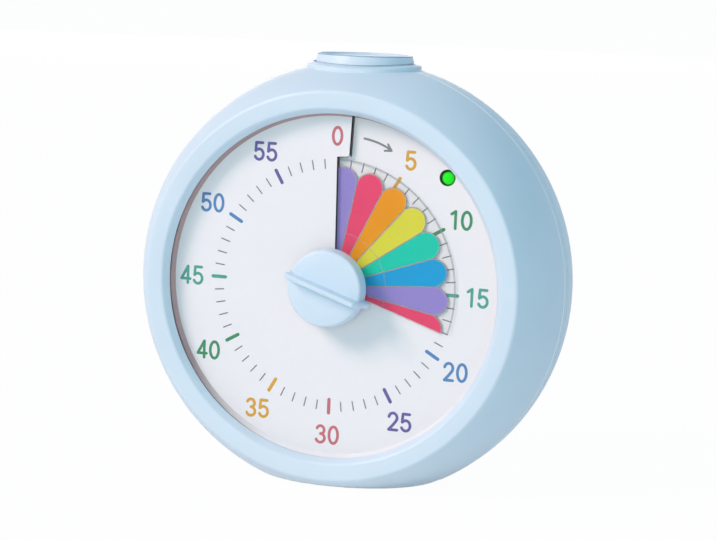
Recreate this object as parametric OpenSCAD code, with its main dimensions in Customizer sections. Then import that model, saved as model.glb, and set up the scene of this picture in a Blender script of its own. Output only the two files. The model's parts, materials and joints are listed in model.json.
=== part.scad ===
// Visual countdown timer: a round desk timer with a knob, a colour film that comes
// through a slot in the dial, a lamp, a top button and a battery box behind.
// The origin is the middle of the foot. The dial faces -Y, and +Z is up.

/* [Housing] */
// Largest diameter of the drum-shaped housing, at the seam between its shells
body_d = 105; // [104:0.5:110]
// Depth from the front rim to the rear face
body_depth = 42.8; // [42.4:0.2:48]
// Radius of the arc that bulges the side of the housing
side_arc_r = 37.7; // [36:0.1:60]
// Height that the flat foot takes off the bottom of the drum
foot_cut = 4.5; // [2.5:0.5:5.5]
// Wall of the two shells
wall = 2; // [1.8:0.1:2.2]
// Rounding where the side meets the front rim and the rear face
edge_r = 1.2; // [0.6:0.1:1.4]
// Width of the front rim, from the drum's largest radius in to the rim's opening
rim_w = 10.4; // [9.5:0.1:11]
// Distance that the rim's inner wall leans inwards on its way down to the window
rim_lean = 1.2; // [1.1:0.1:2.1]
// Gap between the two shells along the seam
seam_gap = 0.1; // [0.06:0.02:0.3]

/* [Window and dial] */
// Distance from the rim's front down to the window
window_setback = 2.3; // [1.6:0.1:2.6]
// Thickness of the clear window
window_t = 1; // [0.8:0.1:1.5]
// Width of the window's edge that lies behind the rim
window_ledge = 1.4; // [1.1:0.1:1.8]
// Wall of the ring between the window and the dial
frame_wall = 1.5; // [1.2:0.1:1.8]
// Thickness of the dial plate
dial_t = 0.5; // [0.4:0.05:0.7]
// Diameter of the hole in the middle of the dial plate
dial_hole_d = 9.2; // [8.6:0.1:11]
// Distance from the film's edge out to the step in the dial's slot
slot_margin = 0.35; // [0.3:0.05:1]
// Distance of the slot's left edge from the twelve o'clock line, at the dial's hole
slot_foot_x = 0.45; // [0.2:0.05:0.8]
// Distance of the slot's left edge from the twelve o'clock line, just inside the step
slot_inner_x = 0.05; // [0:0.05:0.6]
// Distance of the slot's left edge from the twelve o'clock line, just outside the step
slot_outer_x = 3; // [2:0.1:5]
// Distance that the slot's outer part leans further out by the dial's edge
slot_lean = 0.4; // [0:0.1:1]
// Width of the slot
slot_w = 0.15; // [0.1:0.05:0.6]

/* [Colour film] */
// Diameter of the colour film
film_d = 60; // [52:0.5:60]
// Thickness of the colour film
film_t = 0.2; // [0.12:0.02:0.3]
// Gap between the film and the dial plate, on each side of the plate
film_gap = 0.25; // [0.2:0.05:0.3]
// Time that the film shows at rest, in minutes
set_minutes = 18.1; // [0:0.1:60]

/* [Knob] */
// Diameter of the knob at its base
knob_d = 18.6; // [16:0.2:22]
// Diameter of the knob's face
knob_face_d = 17.4; // [15:0.2:18]
// Height of the knob from its base to its face
knob_h = 3.7; // [3:0.1:5]
// Gap between the window and the knob's base
knob_gap = 1.2; // [0.6:0.1:2]
// Height of the grip fin above the face
fin_h = 3.2; // [2:0.1:4]
// Thickness of the grip fin
fin_t = 1.3; // [1:0.1:2]
// Reach of the pointer's tip from the knob's axis
pointer_reach = 11; // [10:0.1:12]

/* [Top button] */
// Diameter of the button where it comes out of the collar
button_d = 23.8; // [22:0.2:24]
// Diameter of the button's top edge
button_top_d = 22.6; // [20:0.2:23]
// Height of the button's top above the collar's rim
button_rise = 2.3; // [1.9:0.1:3.4]
// Travel of the button
button_travel = 1.2; // [0.8:0.1:1.3]
// Diameter of the raised collar round the button
collar_d = 27.2; // [26.8:0.2:28.2]
// Height of the collar above the drum's surface, which it follows
collar_rise = 0.9; // [0.6:0.1:1.2]
// Depth of the dish in the button's top
dish_depth = 0.6; // [0.4:0.1:1]

/* [Lamp] */
// Distance of the lamp in from the window's edge
lamp_inset = 2.85; // [2.4:0.05:4.8]
// Direction of the lamp from the dial's centre, in degrees clockwise from twelve
lamp_deg = 44.4; // [42:0.1:46]
// Diameter of the lamp
lamp_d = 3; // [2.6:0.1:3.4]
// Diameter of the hole in the dial for the lamp
lamp_hole_d = 3.85; // [3.6:0.05:4.2]

/* [Movement] */
// Thickness of each gear wheel
wheel_t = 1.5; // [1.2:0.1:1.7]
// Space between layers of the movement
layer_gap = 1.2; // [1.1:0.1:1.3]
// Thickness of the frame's floor and of the movement plate
plate_t = 1.5; // [1.3:0.1:1.7]
// Diameter of the knob's arbor
arbor_d = 4; // [3.6:0.1:4.2]
// Diameter of the motor's can
motor_d = 15; // [13:0.5:16]
// Length of the motor's can
motor_l = 8.4; // [7:0.2:10]

/* [Battery box] */
// Diameter of one battery cell
cell_d = 10.5; // [10:0.1:10.7]
// Length of one battery cell with its cap
cell_l = 44.5; // [43:0.1:45]
// Distance between the two cells' axes
cell_pitch = 11.4; // [11:0.1:11.6]
// Height of the battery box's middle above the lowest point of the drum's arc
box_rise = 32; // [31.5:0.1:32.5]
// Thickness of the battery door
door_t = 1.5; // [1.2:0.1:1.6]
// Gap round the battery door
door_gap = 0.2; // [0.1:0.05:0.3]

/* [Fits] */
// Radial clearance of a shaft that turns in a bore
running_fit = 0.05; // [0.03:0.01:0.08]
// Radial clearance of a pin that is held in a bore
press_fit = 0.02; // [0.01:0.01:0.05]
// Distance that the rubber pad stands out under the foot
pad_proud = 0.3; // [0.2:0.1:0.6]

/* [Hidden] */
$fn = 96;
cut = 1; // how far a cutting shape runs past the face that it cuts
join = 0.5; // how far joined shapes run into each other

dial_h = body_d/2 - foot_cut;
rim_opening_d = body_d - 2*rim_w;
window_d = rim_opening_d - 2*rim_lean;
frame_d = window_d + 2*window_ledge; // of the window and of the dial frame's wall
collar_h = sqrt(pow(body_d/2 + collar_rise, 2) - pow(collar_d/2, 2)); // at its rim, by the seam

// Depths are measured towards the viewer from the seam, on the dial's axis.
front_w = body_depth/2;
window_front_w = front_w - window_setback;
window_back_w = window_front_w - window_t;
pitch = dial_t + film_t + 2*film_gap; // climb of the dial and the film in one turn
dial_high_w = window_back_w - film_gap - film_t/2 - pitch/2;
dial_low_w = dial_high_w - pitch;
floor_gap = 1.25;
floor_front_w = dial_low_w - pitch/2 - film_t/2 - floor_gap;
floor_back_w = floor_front_w - plate_t;
arbor_wheel_w = floor_back_w - layer_gap - wheel_t;
idler_wheel_w = arbor_wheel_w - layer_gap - wheel_t;
plate_front_w = idler_wheel_w - layer_gap;
plate_back_w = plate_front_w - plate_t;
rear_w = -front_w;
rear_inner_w = rear_w + wall;

arc_x = body_d/2 - side_arc_r; // distance of the side arc's centre from the axis
lens_play = 0.2;
seat_r = frame_d/2 + lens_play;
seat_wall = 1.2;
foot_z = pad_proud;

// Screws that join the shells, and the bosses that they run in
boss_angles = [45, 135, 225, 315];
boss_inset = 9.1;
boss_ring_r = body_d/2 - boss_inset;
boss_r = 2.1;
post_r = 3;
screw_r = 1;
screw_head_r = 1.6;
screw_head_h = 1.4;
screw_play = 0.1;
screw_seat_w = -8;
screw_reach_w = 9;
driver_r = 1.75;
web_w = 5.35;
recess_w = 0.6; // width and depth of the cross in a housing screw's head

// Small screws that hold the frame and the boards
small_screw_r = 0.9;
small_head_r = 1.8;
small_head_h = 1.2;
small_recess_w = 0.5;
small_screw_reach = 3.4; // how far a small screw bites into the piece that it holds
ear_angles = [90, 210, 330];
ear_inset = 7.5;
ear_ring_r = body_d/2 - ear_inset;
ear_r = 2.3;

// Dial and film
dial_play = 0.3;
dial_r = window_d/2 - dial_play;
dial_steps = 72;
film_lead_deg = 6*set_minutes;
film_span_deg = 358;
hub_r = 3.2;
hub_margin = 0.35;
slot_jog_r = film_d/2 + slot_margin;
support_inset = 5;
support_ring_r = dial_r - support_inset;
support_r = 1.5;
support_count = 6;

// Gear train: module, teeth, centre distance, and the directions of the idler and motor
gear_module = 0.5;
wheel_teeth = 48;
pinion_teeth = 12;
wheel_r = gear_module*wheel_teeth/2;
pinion_r = gear_module*pinion_teeth/2;
centre_distance = wheel_r + pinion_r;
idler_deg = 150;
motor_deg = 60;
idler_at = centre_distance*[cos(idler_deg), sin(idler_deg)];
motor_at = idler_at + centre_distance*[cos(motor_deg), sin(motor_deg)];
idler_axle_r = 1;
axle_floor = 0.4; // what is left of the frame's floor past the end of the idler's axle
motor_shaft_r = 0.75;
pinion_proud = 0.4; // length of a pinion past the wheel that it drives, on each side
mesh_deg = 180/pinion_teeth; // half a pinion tooth, so that a gap meets a tooth
plate_at = centre_distance*[-2/5, 8/15];
plate_r = 22;
pillar_angles = [0, 120, 240];
pillar_ring_r = 19.3;
pillar_r = 1.75;
sensor_r = 6;
sensor_h = 2.5;
collar_t = 0.8;
ring_t = 0.5;
ring_w = 1; // width of a retaining ring
shoulder = 1.4; // width of the bush's wall and of the arbor's shoulder
motor_wall = 0.8;
motor_neck_r = 2.5;
motor_end_r = 3;
motor_end_h = 0.6;

// Top button, its shelf and its switch
button_r = button_d/2;
button_play = 0.35;
collar_z = dial_h + collar_h;
button_top_z = collar_z + button_rise;
skirt_drop = 4.1; // from the collar's rim down to the end of the wall that guides the button
skirt_w = 1;
skirt_r = collar_d/2 + skirt_w;
flange_t = 1.2;
flange_w = 0.9;
flange_r = button_r + flange_w;
cap_t = 1.5;
stem_r = 2.4;
board_t = 1.6;
shelf_drop = 17.7; // from the collar's rim down to the shelf
shelf_z = collar_z - shelf_drop;
shelf_t = 1.5;
shelf_x = 9;
shelf_back_w = -8;
shelf_screw = [6.8, 5]; // sideways and backwards from the button's axis
rib_h = 4;
button_board_z = shelf_z + shelf_t;
button_board_l = 14.6;
board_margin = 0.3;
switch_z = button_board_z + board_t;
switch_side = 6;
switch_lid_side = 5.2;
switch_h = 3.5;
plunger_r = 1.7;
plunger_play = 0.1;
plunger_guide = 0.5; // length of the plunger inside the switch at rest
plunger_h = button_travel + 0.3;
switch_cup = plunger_guide + button_travel + 0.15;
stem_gap = 0.05;
spring_r = 5.4;
spring_wire_r = 0.3;
spring_turns = 6;

// Main board, buzzer and volume switch, seen from the front
board_inset = 16.5;
board_r = body_d/2 - board_inset;
board_bottom_y = 3;
board_gap = 3.9; // space between the rear wall and the board
board_back_w = rear_inner_w + board_gap;
board_front_w = board_back_w + board_t;
post_side = 8; // from the board's lower corners, sideways and up, to their posts
post_top = 5; // from the board's top down to its post
board_posts = [[post_side - board_r, post_side], [board_r - post_side, post_side],
    [0, board_r - post_top]];
// Parts on the main board: place, width and height on the board, and thickness
chips = [[-4, 14, 9, 9, 1.6], [-20, 12, 5, 3.2, 1.4], [-26, 22, 2, 1.2, 0.8],
    [-22, 21, 2, 1.2, 0.8], [-18, 20, 2, 1.2, 0.8], [-14, 19, 2, 1.2, 0.8]];
capacitor_at = [5, 26];
capacitor_r = 2.5;
capacitor_h = 5;
board_post_r = 2.5;
buzzer_inset = 19; // sideways from the board's edge
buzzer_rise = 19;
buzzer_at = [board_r - buzzer_inset, buzzer_rise];
buzzer_r = 7;
buzzer_h = 6.5;
buzzer_wall = 0.8;
buzzer_mouth_r = 1;
buzzer_gap = 0.1;
buzzer_play = 0.4;
grille_hole_r = 0.7;
grille_pitch = 2.6;
volume_inset = 21; // sideways from the board's edge
volume_at = [volume_inset - board_r, buzzer_rise];
volume_travel = 2;
slider_w = 4.6;
slider_h = 3.6;
slider_corner = 0.6;
slider_proud = 0.5;
slider_recess = 1;
slider_groove = 0.4;
volume_body = [10, 4.8];
volume_groove = [7, 2.4, 1.2];
volume_body_h = board_gap - 0.6;

// Battery box, seen from the front
box_wall = 1.4;
contact_room = 6.5; // length that the contacts take at both ends together
cell_play = 0.4;
box_play = 1.3; // height left over beside the two cells
box_l = cell_l + contact_room;
box_h = cell_pitch + cell_d + box_play;
box_y = box_rise - body_d/2;
box_depth = cell_d + cell_play;
ledge_t = 1.2;
opening_inset = [2, 0.35]; // sideways and upwards, from the box's walls to its opening
opening_l = box_l - 2*opening_inset[0];
opening_h = box_h - 2*opening_inset[1];
door_lap = [2, 1.05]; // sideways and upwards, from the opening's edge to the door's
door_l = opening_l + 2*door_lap[0];
door_h = opening_h + 2*door_lap[1];
door_corner = 2;
door_bead = [8, 1, 1.6]; // length, thickness and height of the beads inside the door
grip_line = 0.6;
grip_depth = 0.5;
grip_pitch = 1.3;
door_recess_w = rear_w + door_t + 0.1;
box_back_w = door_recess_w + ledge_t;
box_front_w = box_back_w + box_depth;
cell_gap = 0.15; // from a cell to the box's floor and to its flat contact
cell_w = box_front_w - cell_gap - cell_d/2;
cap_l = 1.2;
cap_r = 1.9;
contact_t = 0.4;
contact_h = 8;
cell_shift = box_l/2 - contact_t - cell_gap - cell_l/2;
contact_wire_r = 0.35;
contact_coil_r = 2.6;
contact_taper = 0.9;
contact_turns = 3;

pad_size = [32, 20];
pad_corner = 4;
pad_play = 0.05;
pad_t = 1.5;

function polar(r, deg) = [r*sin(deg), r*cos(deg)]; // deg runs clockwise from twelve
// Angle clockwise from twelve at which a line at distance x crosses the radius r
function line_deg(x, r) = asin(x/r);
// Depth of the middle of the dial plate at an angle clockwise from twelve
function dial_w(deg) = dial_low_w + pitch*deg/360;
function film_w(deg) = dial_w(deg) + pitch/2;
lamp_at = polar(window_d/2 - lamp_inset, lamp_deg);

// Puts what is drawn face up on the dial's axis: x right, y up, z to the viewer
module facing() {
    translate([0, 0, dial_h]) rotate([90, 0, 0]) children();
}

module tube(r_out, r_in, w0, w1) {
    translate([0, 0, w0]) difference() {
        cylinder(r = r_out, h = w1 - w0);
        translate([0, 0, -cut]) cylinder(r = r_in, h = w1 - w0 + 2*cut);
    }
}

module rod(r, w0, w1) {
    translate([0, 0, w0]) cylinder(r = r, h = w1 - w0);
}

module block(size_xy, w0, w1) {
    translate([-size_xy[0]/2, -size_xy[1]/2, w0]) cube([size_xy[0], size_xy[1], w1 - w0]);
}

module rounded_block(size_xy, corner, w0, w1) {
    block(size_xy - [2*corner, 0], w0, w1);
    block(size_xy - [0, 2*corner], w0, w1);
    for (x = [-1, 1], y = [-1, 1])
        translate([x*(size_xy[0]/2 - corner), y*(size_xy[1]/2 - corner), 0]) rod(corner, w0, w1);
}

module at_angles(r, angles) {
    for (deg = angles) translate(polar(r, deg)) children();
}

// Involute gear, with a tooth centred on the x axis
backlash = 0.08;
flank_steps = 4;
pressure_deg = 20;
function involute_deg(base_r, r) =
    let (t = sqrt(pow(r/base_r, 2) - 1)) t*180/PI - atan(t);
function flank_half_deg(teeth, r) =
    let (pitch_r = gear_module*teeth/2, base_r = pitch_r*cos(pressure_deg),
         half = 90/teeth - backlash/2/pitch_r*180/PI)
    half + involute_deg(base_r, pitch_r) - involute_deg(base_r, max(r, base_r));

function gear_outline(teeth) =
    let (pitch_r = gear_module*teeth/2, tip_r = pitch_r + gear_module*0.95,
         root_r = pitch_r - 1.25*gear_module,
         start_r = max(pitch_r*cos(pressure_deg), root_r),
         radii = concat([root_r],
             [for (i = [0:flank_steps]) start_r + (tip_r - start_r)*i/flank_steps + 0.001]))
    [for (tooth = [0:teeth - 1])
        for (side = [-1, 1])
            for (i = [0:len(radii) - 1])
                let (r = radii[side < 0 ? i : len(radii) - 1 - i],
                     deg = tooth*360/teeth + side*flank_half_deg(teeth, r))
                r*[cos(deg), sin(deg)]];

module gear(teeth, turned_deg, bore_r, w0, w1) {
    difference() {
        translate([0, 0, w0]) rotate(turned_deg)
            linear_extrude(w1 - w0) polygon(gear_outline(teeth));
        rod(bore_r, w0 - cut, w1 + cut);
    }
}

// Sheet that climbs at a steady rate, as rows of points from its first edge to its
// last. from_to gives the two edges' angles for each radius.
module climbing_sheet(radii, from_to, steps, thickness, middle_w) {
    columns = len(radii);
    points = [for (side = [-1, 1]) for (i = [0:steps]) for (j = [0:columns - 1])
        let (deg = from_to[j][0] + (from_to[j][1] - from_to[j][0])*i/steps,
             at = polar(radii[j], deg))
        [at[0], at[1], middle_w + pitch*deg/360 + side*thickness/2]];
    top = (steps + 1)*columns;
    function id(i, j) = i*columns + j;
    faces = concat(
        [for (i = [0:steps - 1]) for (j = [0:columns - 2]) for (half = [0, 1])
            half == 0 ? [id(i, j), id(i, j + 1), id(i + 1, j + 1)]
                      : [id(i, j), id(i + 1, j + 1), id(i + 1, j)]],
        [for (i = [0:steps - 1]) for (j = [0:columns - 2]) for (half = [0, 1])
            half == 0 ? [top + id(i, j), top + id(i + 1, j + 1), top + id(i, j + 1)]
                      : [top + id(i, j), top + id(i + 1, j), top + id(i + 1, j + 1)]],
        [for (i = [0:steps - 1]) for (half = [0, 1])
            half == 0 ? [id(i, 0), id(i + 1, 0), top + id(i + 1, 0)]
                      : [id(i, 0), top + id(i + 1, 0), top + id(i, 0)]],
        [for (i = [0:steps - 1]) for (half = [0, 1]) let (j = columns - 1)
            half == 0 ? [id(i, j), top + id(i, j), top + id(i + 1, j)]
                      : [id(i, j), top + id(i + 1, j), id(i + 1, j)]],
        [for (j = [0:columns - 2]) for (half = [0, 1])
            half == 0 ? [id(0, j), top + id(0, j), top + id(0, j + 1)]
                      : [id(0, j), top + id(0, j + 1), id(0, j + 1)]],
        [for (j = [0:columns - 2]) for (half = [0, 1]) let (i = steps)
            half == 0 ? [id(i, j), id(i, j + 1), top + id(i, j + 1)]
                      : [id(i, j), top + id(i, j + 1), top + id(i, j)]]);
    polyhedron(points, faces);
}

// Round wire along a coil on the z axis. The radius runs from r0 to r1.
module coil(r0, r1, wire_r, height, turns, rings_per_turn = 12, sides = 6) {
    rings = turns*rings_per_turn;
    points = [for (k = [0:rings]) for (s = [0:sides - 1])
        let (deg = 360*k/rings_per_turn, r = r0 + (r1 - r0)*k/rings,
             across = r + wire_r*cos(360*s/sides),
             z = wire_r + (height - 2*wire_r)*k/rings + wire_r*sin(360*s/sides))
        [across*cos(deg), across*sin(deg), z]];
    function id(k, s) = k*sides + s%sides;
    faces = concat(
        [for (k = [0:rings - 1]) for (s = [0:sides - 1]) for (half = [0, 1])
            half == 0 ? [id(k, s), id(k, s + 1), id(k + 1, s + 1)]
                      : [id(k, s), id(k + 1, s + 1), id(k + 1, s)]],
        [[for (s = [sides - 1:-1:0]) id(0, s)]],
        [[for (s = [0:sides - 1]) id(rings, s)]]);
    polyhedron(points, faces);
}

// Solid of the drum, taken in by inset on every side
module drum(inset) {
    round_w = front_w - edge_r;
    round_x = arc_x + sqrt(pow(side_arc_r - edge_r, 2) - pow(round_w, 2));
    lean = atan2(round_w, round_x - arc_x);
    reach = 3*edge_r;
    facing() rotate_extrude() difference() {
        intersection() {
            translate([arc_x, 0]) circle(r = side_arc_r - inset);
            translate([0, rear_w + inset]) square([body_d, body_depth - 2*inset]);
        }
        if (inset == 0) for (side = [0, 1]) mirror([0, side])
            translate([round_x, round_w]) difference() {
                polygon([[0, 0], [0, reach], [reach, reach], reach*[cos(lean), sin(lean)]]);
                circle(r = edge_r, $fn = 48);
            }
    }
}

// Space above a level, and space below one
module above(z) {
    translate([-body_d, -body_d, z]) cube([2*body_d, 2*body_d, 2*body_d]);
}

module below(z) {
    translate([-body_d, -body_d, z - 2*body_d]) cube([2*body_d, 2*body_d, 2*body_d]);
}

// The half of the timer on one side of the seam: front is 1, rear is -1
module half_space(side) {
    translate([-body_d, side > 0 ? -2*body_d - seam_gap/2 : seam_gap/2, -body_d])
        cube([2*body_d, 2*body_d, 4*body_d]);
}

module collar_blank() {
    intersection() {
        drum(-collar_rise);
        translate([0, 0, collar_z - skirt_drop]) cylinder(r = collar_d/2, h = body_d);
    }
}

// Outside of the whole housing, with its flat foot and its collar
module housing_blank() {
    difference() {
        union() {
            drum(0);
            collar_blank();
        }
        below(foot_z);
    }
}

module cavity(inset) {
    difference() {
        drum(inset);
        below(foot_z + inset);
        translate([0, 0, collar_z - skirt_drop]) cylinder(r = skirt_r, h = body_d);
    }
}

// Wall that guides the button, inside the collar
module button_hole() {
    translate([0, 0, collar_z - skirt_drop - cut])
        cylinder(r = button_r + button_play, h = body_d/2);
}

module shell(side) {
    intersection() {
        difference() {
            housing_blank();
            cavity(wall);
            button_hole();
        }
        half_space(side);
    }
}

module pad_shape(grow, z0, z1) {
    rounded_block(pad_size + 2*grow*[1, 1], pad_corner + grow, z0, z1);
}

module front_housing() color([0.78, 0.88, 0.96]) {
    ear_w = floor_front_w;
    root_w = window_front_w + wall/2; // inside the front wall, where ring, bosses and ears grow
    difference() {
        union() {
            shell(1);
            intersection() {
                drum(wall/2);
                facing() {
                    tube(seat_r + seat_wall, seat_r, floor_front_w + plate_t, root_w);
                    at_angles(boss_ring_r, boss_angles) rod(boss_r, seam_gap, root_w);
                    for (deg = boss_angles) rotate(-deg)
                        translate([-seat_wall/2, boss_ring_r, web_w])
                            cube([seat_wall, body_d, root_w - web_w]);
                    at_angles(ear_ring_r, ear_angles) rod(ear_r, ear_w, root_w);
                }
            }
        }
        facing() {
            translate([0, 0, window_front_w])
                cylinder(r1 = window_d/2, r2 = rim_opening_d/2 + rim_lean*cut/window_setback,
                    h = window_setback + cut);
            rod(window_d/2, window_front_w - wall - cut, window_front_w + join);
            at_angles(boss_ring_r, boss_angles)
                rod(screw_r + press_fit, -cut, screw_reach_w + cut);
            at_angles(ear_ring_r, ear_angles)
                rod(small_screw_r + press_fit, ear_w - cut, ear_w + small_screw_reach + cut/2);
        }
        pad_shape(pad_play, foot_z - cut, pad_t);
    }
}

// Places of the grille's holes: rings of six, twelve and so on, round a middle one
module grille() {
    rings = 2;
    translate(buzzer_at) for (ring = [0:rings]) for (i = [0:max(0, 6*ring - 1)])
        translate(polar(ring*grille_pitch, 360*i/max(1, 6*ring)))
            rod(grille_hole_r, rear_w - cut, rear_inner_w + cut);
}

// Lip on the rear shell that reaches into the front shell. It grows out of the rear
// wall behind the seam and stays clear of the front wall in front of it.
module lip() {
    lip_clear = 0.1;
    lip_t = 1.2;
    lip_h = 2;
    difference() {
        union() {
            intersection() {
                cavity(wall + lip_clear);
                facing() rod(body_d, -lip_h - wall, lip_h);
            }
            intersection() {
                cavity(wall - join);
                facing() rod(body_d, -lip_h - wall, -seam_gap);
            }
        }
        cavity(wall + lip_clear + lip_t);
        above(collar_z - skirt_drop - 3*wall);
        facing() at_angles(boss_ring_r, boss_angles) rod(post_r + 1, -seam_gap, body_d);
        facing() for (deg = boss_angles) rotate(-deg)
            translate([-seat_wall, 0, -seam_gap]) cube([2*seat_wall, body_d, body_d]);
    }
}

module rear_housing() color([0.78, 0.88, 0.96]) {
    recess = [slider_w + 2*volume_travel + 1, slider_h + slider_corner];
    difference() {
        union() {
            shell(-1);
            lip();
            facing() {
                at_angles(boss_ring_r, boss_angles)
                    rod(post_r, rear_w + wall/2, -seam_gap);
                for (at = board_posts) translate(at)
                    rod(board_post_r, rear_w + wall/2, board_back_w);
                translate([0, box_y, 0])
                    block([box_l, box_h] + 2*box_wall*[1, 1], rear_w + wall/2, box_front_w + box_wall);
            }
        }
        facing() {
            at_angles(boss_ring_r, boss_angles) {
                rod(driver_r, rear_w - cut, screw_seat_w);
                rod(screw_r + screw_play, rear_w, cut);
            }
            for (at = board_posts) translate(at)
                rod(small_screw_r + press_fit, board_back_w - small_screw_reach - 2*ring_gap,
                    board_back_w + cut);
            translate([0, box_y, 0]) {
                block([box_l, box_h], box_back_w, box_front_w);
                block([opening_l, opening_h], rear_w - cut, box_back_w + cut);
                rounded_block([door_l, door_h] + 2*door_gap*[1, 1], door_corner + door_gap,
                    rear_w - cut, door_recess_w);
            }
            grille();
            translate(volume_at) {
                rounded_block(recess, 1, rear_w - cut, rear_w + slider_recess);
                block([volume_groove[0], volume_groove[1]], rear_w, rear_inner_w + cut);
            }
        }
        pad_shape(pad_play, foot_z - cut, pad_t);
    }
}

module notches(w0, w1) {
    at_angles(boss_ring_r, boss_angles) rod(boss_r + lens_play, w0, w1);
}

module window() color([0.85, 0.93, 0.96, 0.35]) facing() difference() {
    tube(frame_d/2, dial_hole_d/2 + collar_t, window_back_w, window_front_w);
    notches(window_back_w - cut, window_front_w + cut);
}

// Ears that reach from the dial frame's floor out to their screws
module ears() {
    neck = 1.6*ear_r;
    at_angles(ear_ring_r, ear_angles) rod(ear_r, floor_back_w, floor_front_w);
    for (deg = ear_angles) rotate(-deg) translate([-neck/2, frame_d/2 - frame_wall, floor_back_w])
        cube([neck, ear_ring_r - frame_d/2 + frame_wall, plate_t]);
}

module dial_frame() color([0.6, 0.57, 0.6]) {
    lamp_holder_r = lamp_d/2 + 1;
    facing() difference() {
        union() {
            tube(frame_d/2, frame_d/2 - frame_wall, floor_back_w, window_back_w);
            rod(frame_d/2 - join, floor_back_w, floor_front_w);
            ears();
            for (i = [0:support_count - 1]) let (deg = 30 + 360*i/support_count)
                translate(polar(support_ring_r, deg))
                    rod(support_r, floor_front_w - join, dial_w(deg) - dial_t/2 - press_fit*2);
            for (deg = pillar_angles)
                translate(plate_at + pillar_ring_r*[cos(deg), sin(deg)])
                    rod(pillar_r, plate_front_w, floor_back_w + join);
            translate(lamp_at) rod(lamp_holder_r, floor_front_w - join, dial_low_w - dial_t);
            translate([0, shelf_z - dial_h + shelf_t/2, 0])
                block([2*shelf_x, shelf_t], shelf_back_w, floor_back_w + join);
            for (x = [-1, 1])
                translate([x*(shelf_x - shelf_t/2), shelf_z - dial_h - rib_h/2 + join, 0])
                    block([shelf_t, rib_h], plate_front_w + layer_gap, floor_back_w + join);
        }
        rod(arbor_bush_r + press_fit, floor_back_w - cut, floor_front_w + cut);
        notches(floor_back_w - cut, window_back_w + cut);
        at_angles(ear_ring_r, ear_angles)
            rod(small_screw_r + screw_play, floor_back_w - cut, floor_front_w + cut);
        for (deg = pillar_angles)
            translate(plate_at + pillar_ring_r*[cos(deg), sin(deg)])
                rod(small_screw_r + press_fit, plate_front_w - cut, floor_back_w - join);
        translate(idler_at)
            rod(idler_axle_r + press_fit, floor_back_w - cut, floor_front_w - axle_floor);
        translate(lamp_at) rod(lamp_d/2 + running_fit, floor_back_w - cut, dial_low_w);
        for (x = [-1, 1]) translate([x*shelf_screw[0], shelf_z - dial_h - cut, -shelf_screw[1]])
            rotate([-90, 0, 0]) cylinder(r = small_screw_r + press_fit, h = shelf_t + 2*cut);
    }
}

module dial_plate() color([0.93, 0.94, 0.95]) {
    jog = 0.35;
    radii = [dial_hole_d/2, slot_jog_r, slot_jog_r + jog, dial_r];
    left_x = [slot_foot_x, slot_inner_x, slot_outer_x, slot_outer_x + slot_lean];
    from_to = [for (j = [0:len(radii) - 1])
        [line_deg(left_x[j] + slot_w, radii[j]), 360 + line_deg(left_x[j], radii[j])]];
    facing() difference() {
        climbing_sheet(radii, from_to, dial_steps, dial_t, dial_low_w);
        translate(lamp_at) rod(lamp_hole_d/2, floor_front_w, window_back_w);
    }
}

module colour_film() color([0.95, 0.6, 0.3]) {
    radii = [hub_r + 0.1, film_d/4, film_d/2];
    from_to = [for (r = radii) [film_lead_deg - film_span_deg, film_lead_deg]];
    facing() climbing_sheet(radii, from_to, dial_steps, film_t, dial_low_w + pitch/2);
}

module film_hub() color([0.85, 0.9, 0.92]) facing() {
    tube(hub_r, arbor_d/2 + running_fit, film_w(film_lead_deg - film_span_deg) - hub_margin,
        film_w(film_lead_deg) + hub_margin/2);
}

knob_base_w = window_front_w + knob_gap;
knob_face_w = knob_base_w + knob_h;
knob_neck_r = 4.9;
knob_neck_gap = 0.7; // from the film's highest point to the knob's neck
knob_cap_t = 1.4; // thickness of the knob's face over the end of its bore
knob_bore_w = knob_face_w - knob_cap_t;
knob_foot_h = 0.5;
knob_face_round = 0.8;
knob_dome = 0.2;
fin_overhang = 0.2;
beak_w = 6;

module knob() color([0.81, 0.89, 0.96]) {
    neck_w = dial_high_w + pitch/2 + film_t + knob_neck_gap;
    fin_w = knob_face_w + fin_h;
    fin_edge_w = knob_face_w + fin_h*0.75;
    edge_r = knob_face_d/2 + knob_dome;
    facing() difference() {
        union() {
            rotate_extrude()
                polygon([[0, knob_base_w], [knob_d/2, knob_base_w],
                    [knob_d/2, knob_base_w + knob_foot_h], [edge_r, knob_face_w - knob_face_round],
                    [edge_r - knob_face_round, knob_face_w], [0, knob_face_w + knob_dome]]);
            rod(knob_neck_r, neck_w, knob_base_w + cut);
            rotate(90 - film_lead_deg) {
                rotate([90, 0, 0]) translate([0, 0, -fin_t/2]) linear_extrude(fin_t)
                    polygon([[-knob_d/2 - fin_overhang, knob_base_w], [pointer_reach, knob_base_w],
                        [knob_d/2 + fin_overhang, fin_edge_w], [edge_r, fin_w],
                        [-edge_r, fin_w], [-knob_d/2 - fin_overhang, fin_edge_w]]);
                translate([0, 0, knob_base_w]) linear_extrude(knob_h*0.75)
                    polygon([[knob_d*0.4, -beak_w/2], [pointer_reach - join, -fin_t/2],
                        [pointer_reach - join, fin_t/2], [knob_d*0.4, beak_w/2]]);
            }
        }
        rod(arbor_d/2 + press_fit, neck_w - cut, knob_bore_w);
    }
}

arbor_bush_r = arbor_d/2 + shoulder;
arbor_end_gap = 0.4;
ring_gap = 0.1; // along the arbor, between a ring or shoulder and what it holds

module arbor() color([0.72, 0.73, 0.75]) facing() {
    rod(arbor_d/2, plate_back_w - sensor_h - ring_t - arbor_end_gap, knob_bore_w - ring_gap);
    rod(arbor_d/2 + shoulder, arbor_wheel_w - collar_t - ring_gap, arbor_wheel_w - ring_gap);
}

module arbor_bush() color([0.8, 0.65, 0.3]) facing()
    tube(arbor_bush_r, arbor_d/2 + running_fit, floor_back_w, floor_front_w + floor_gap/2);

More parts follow.
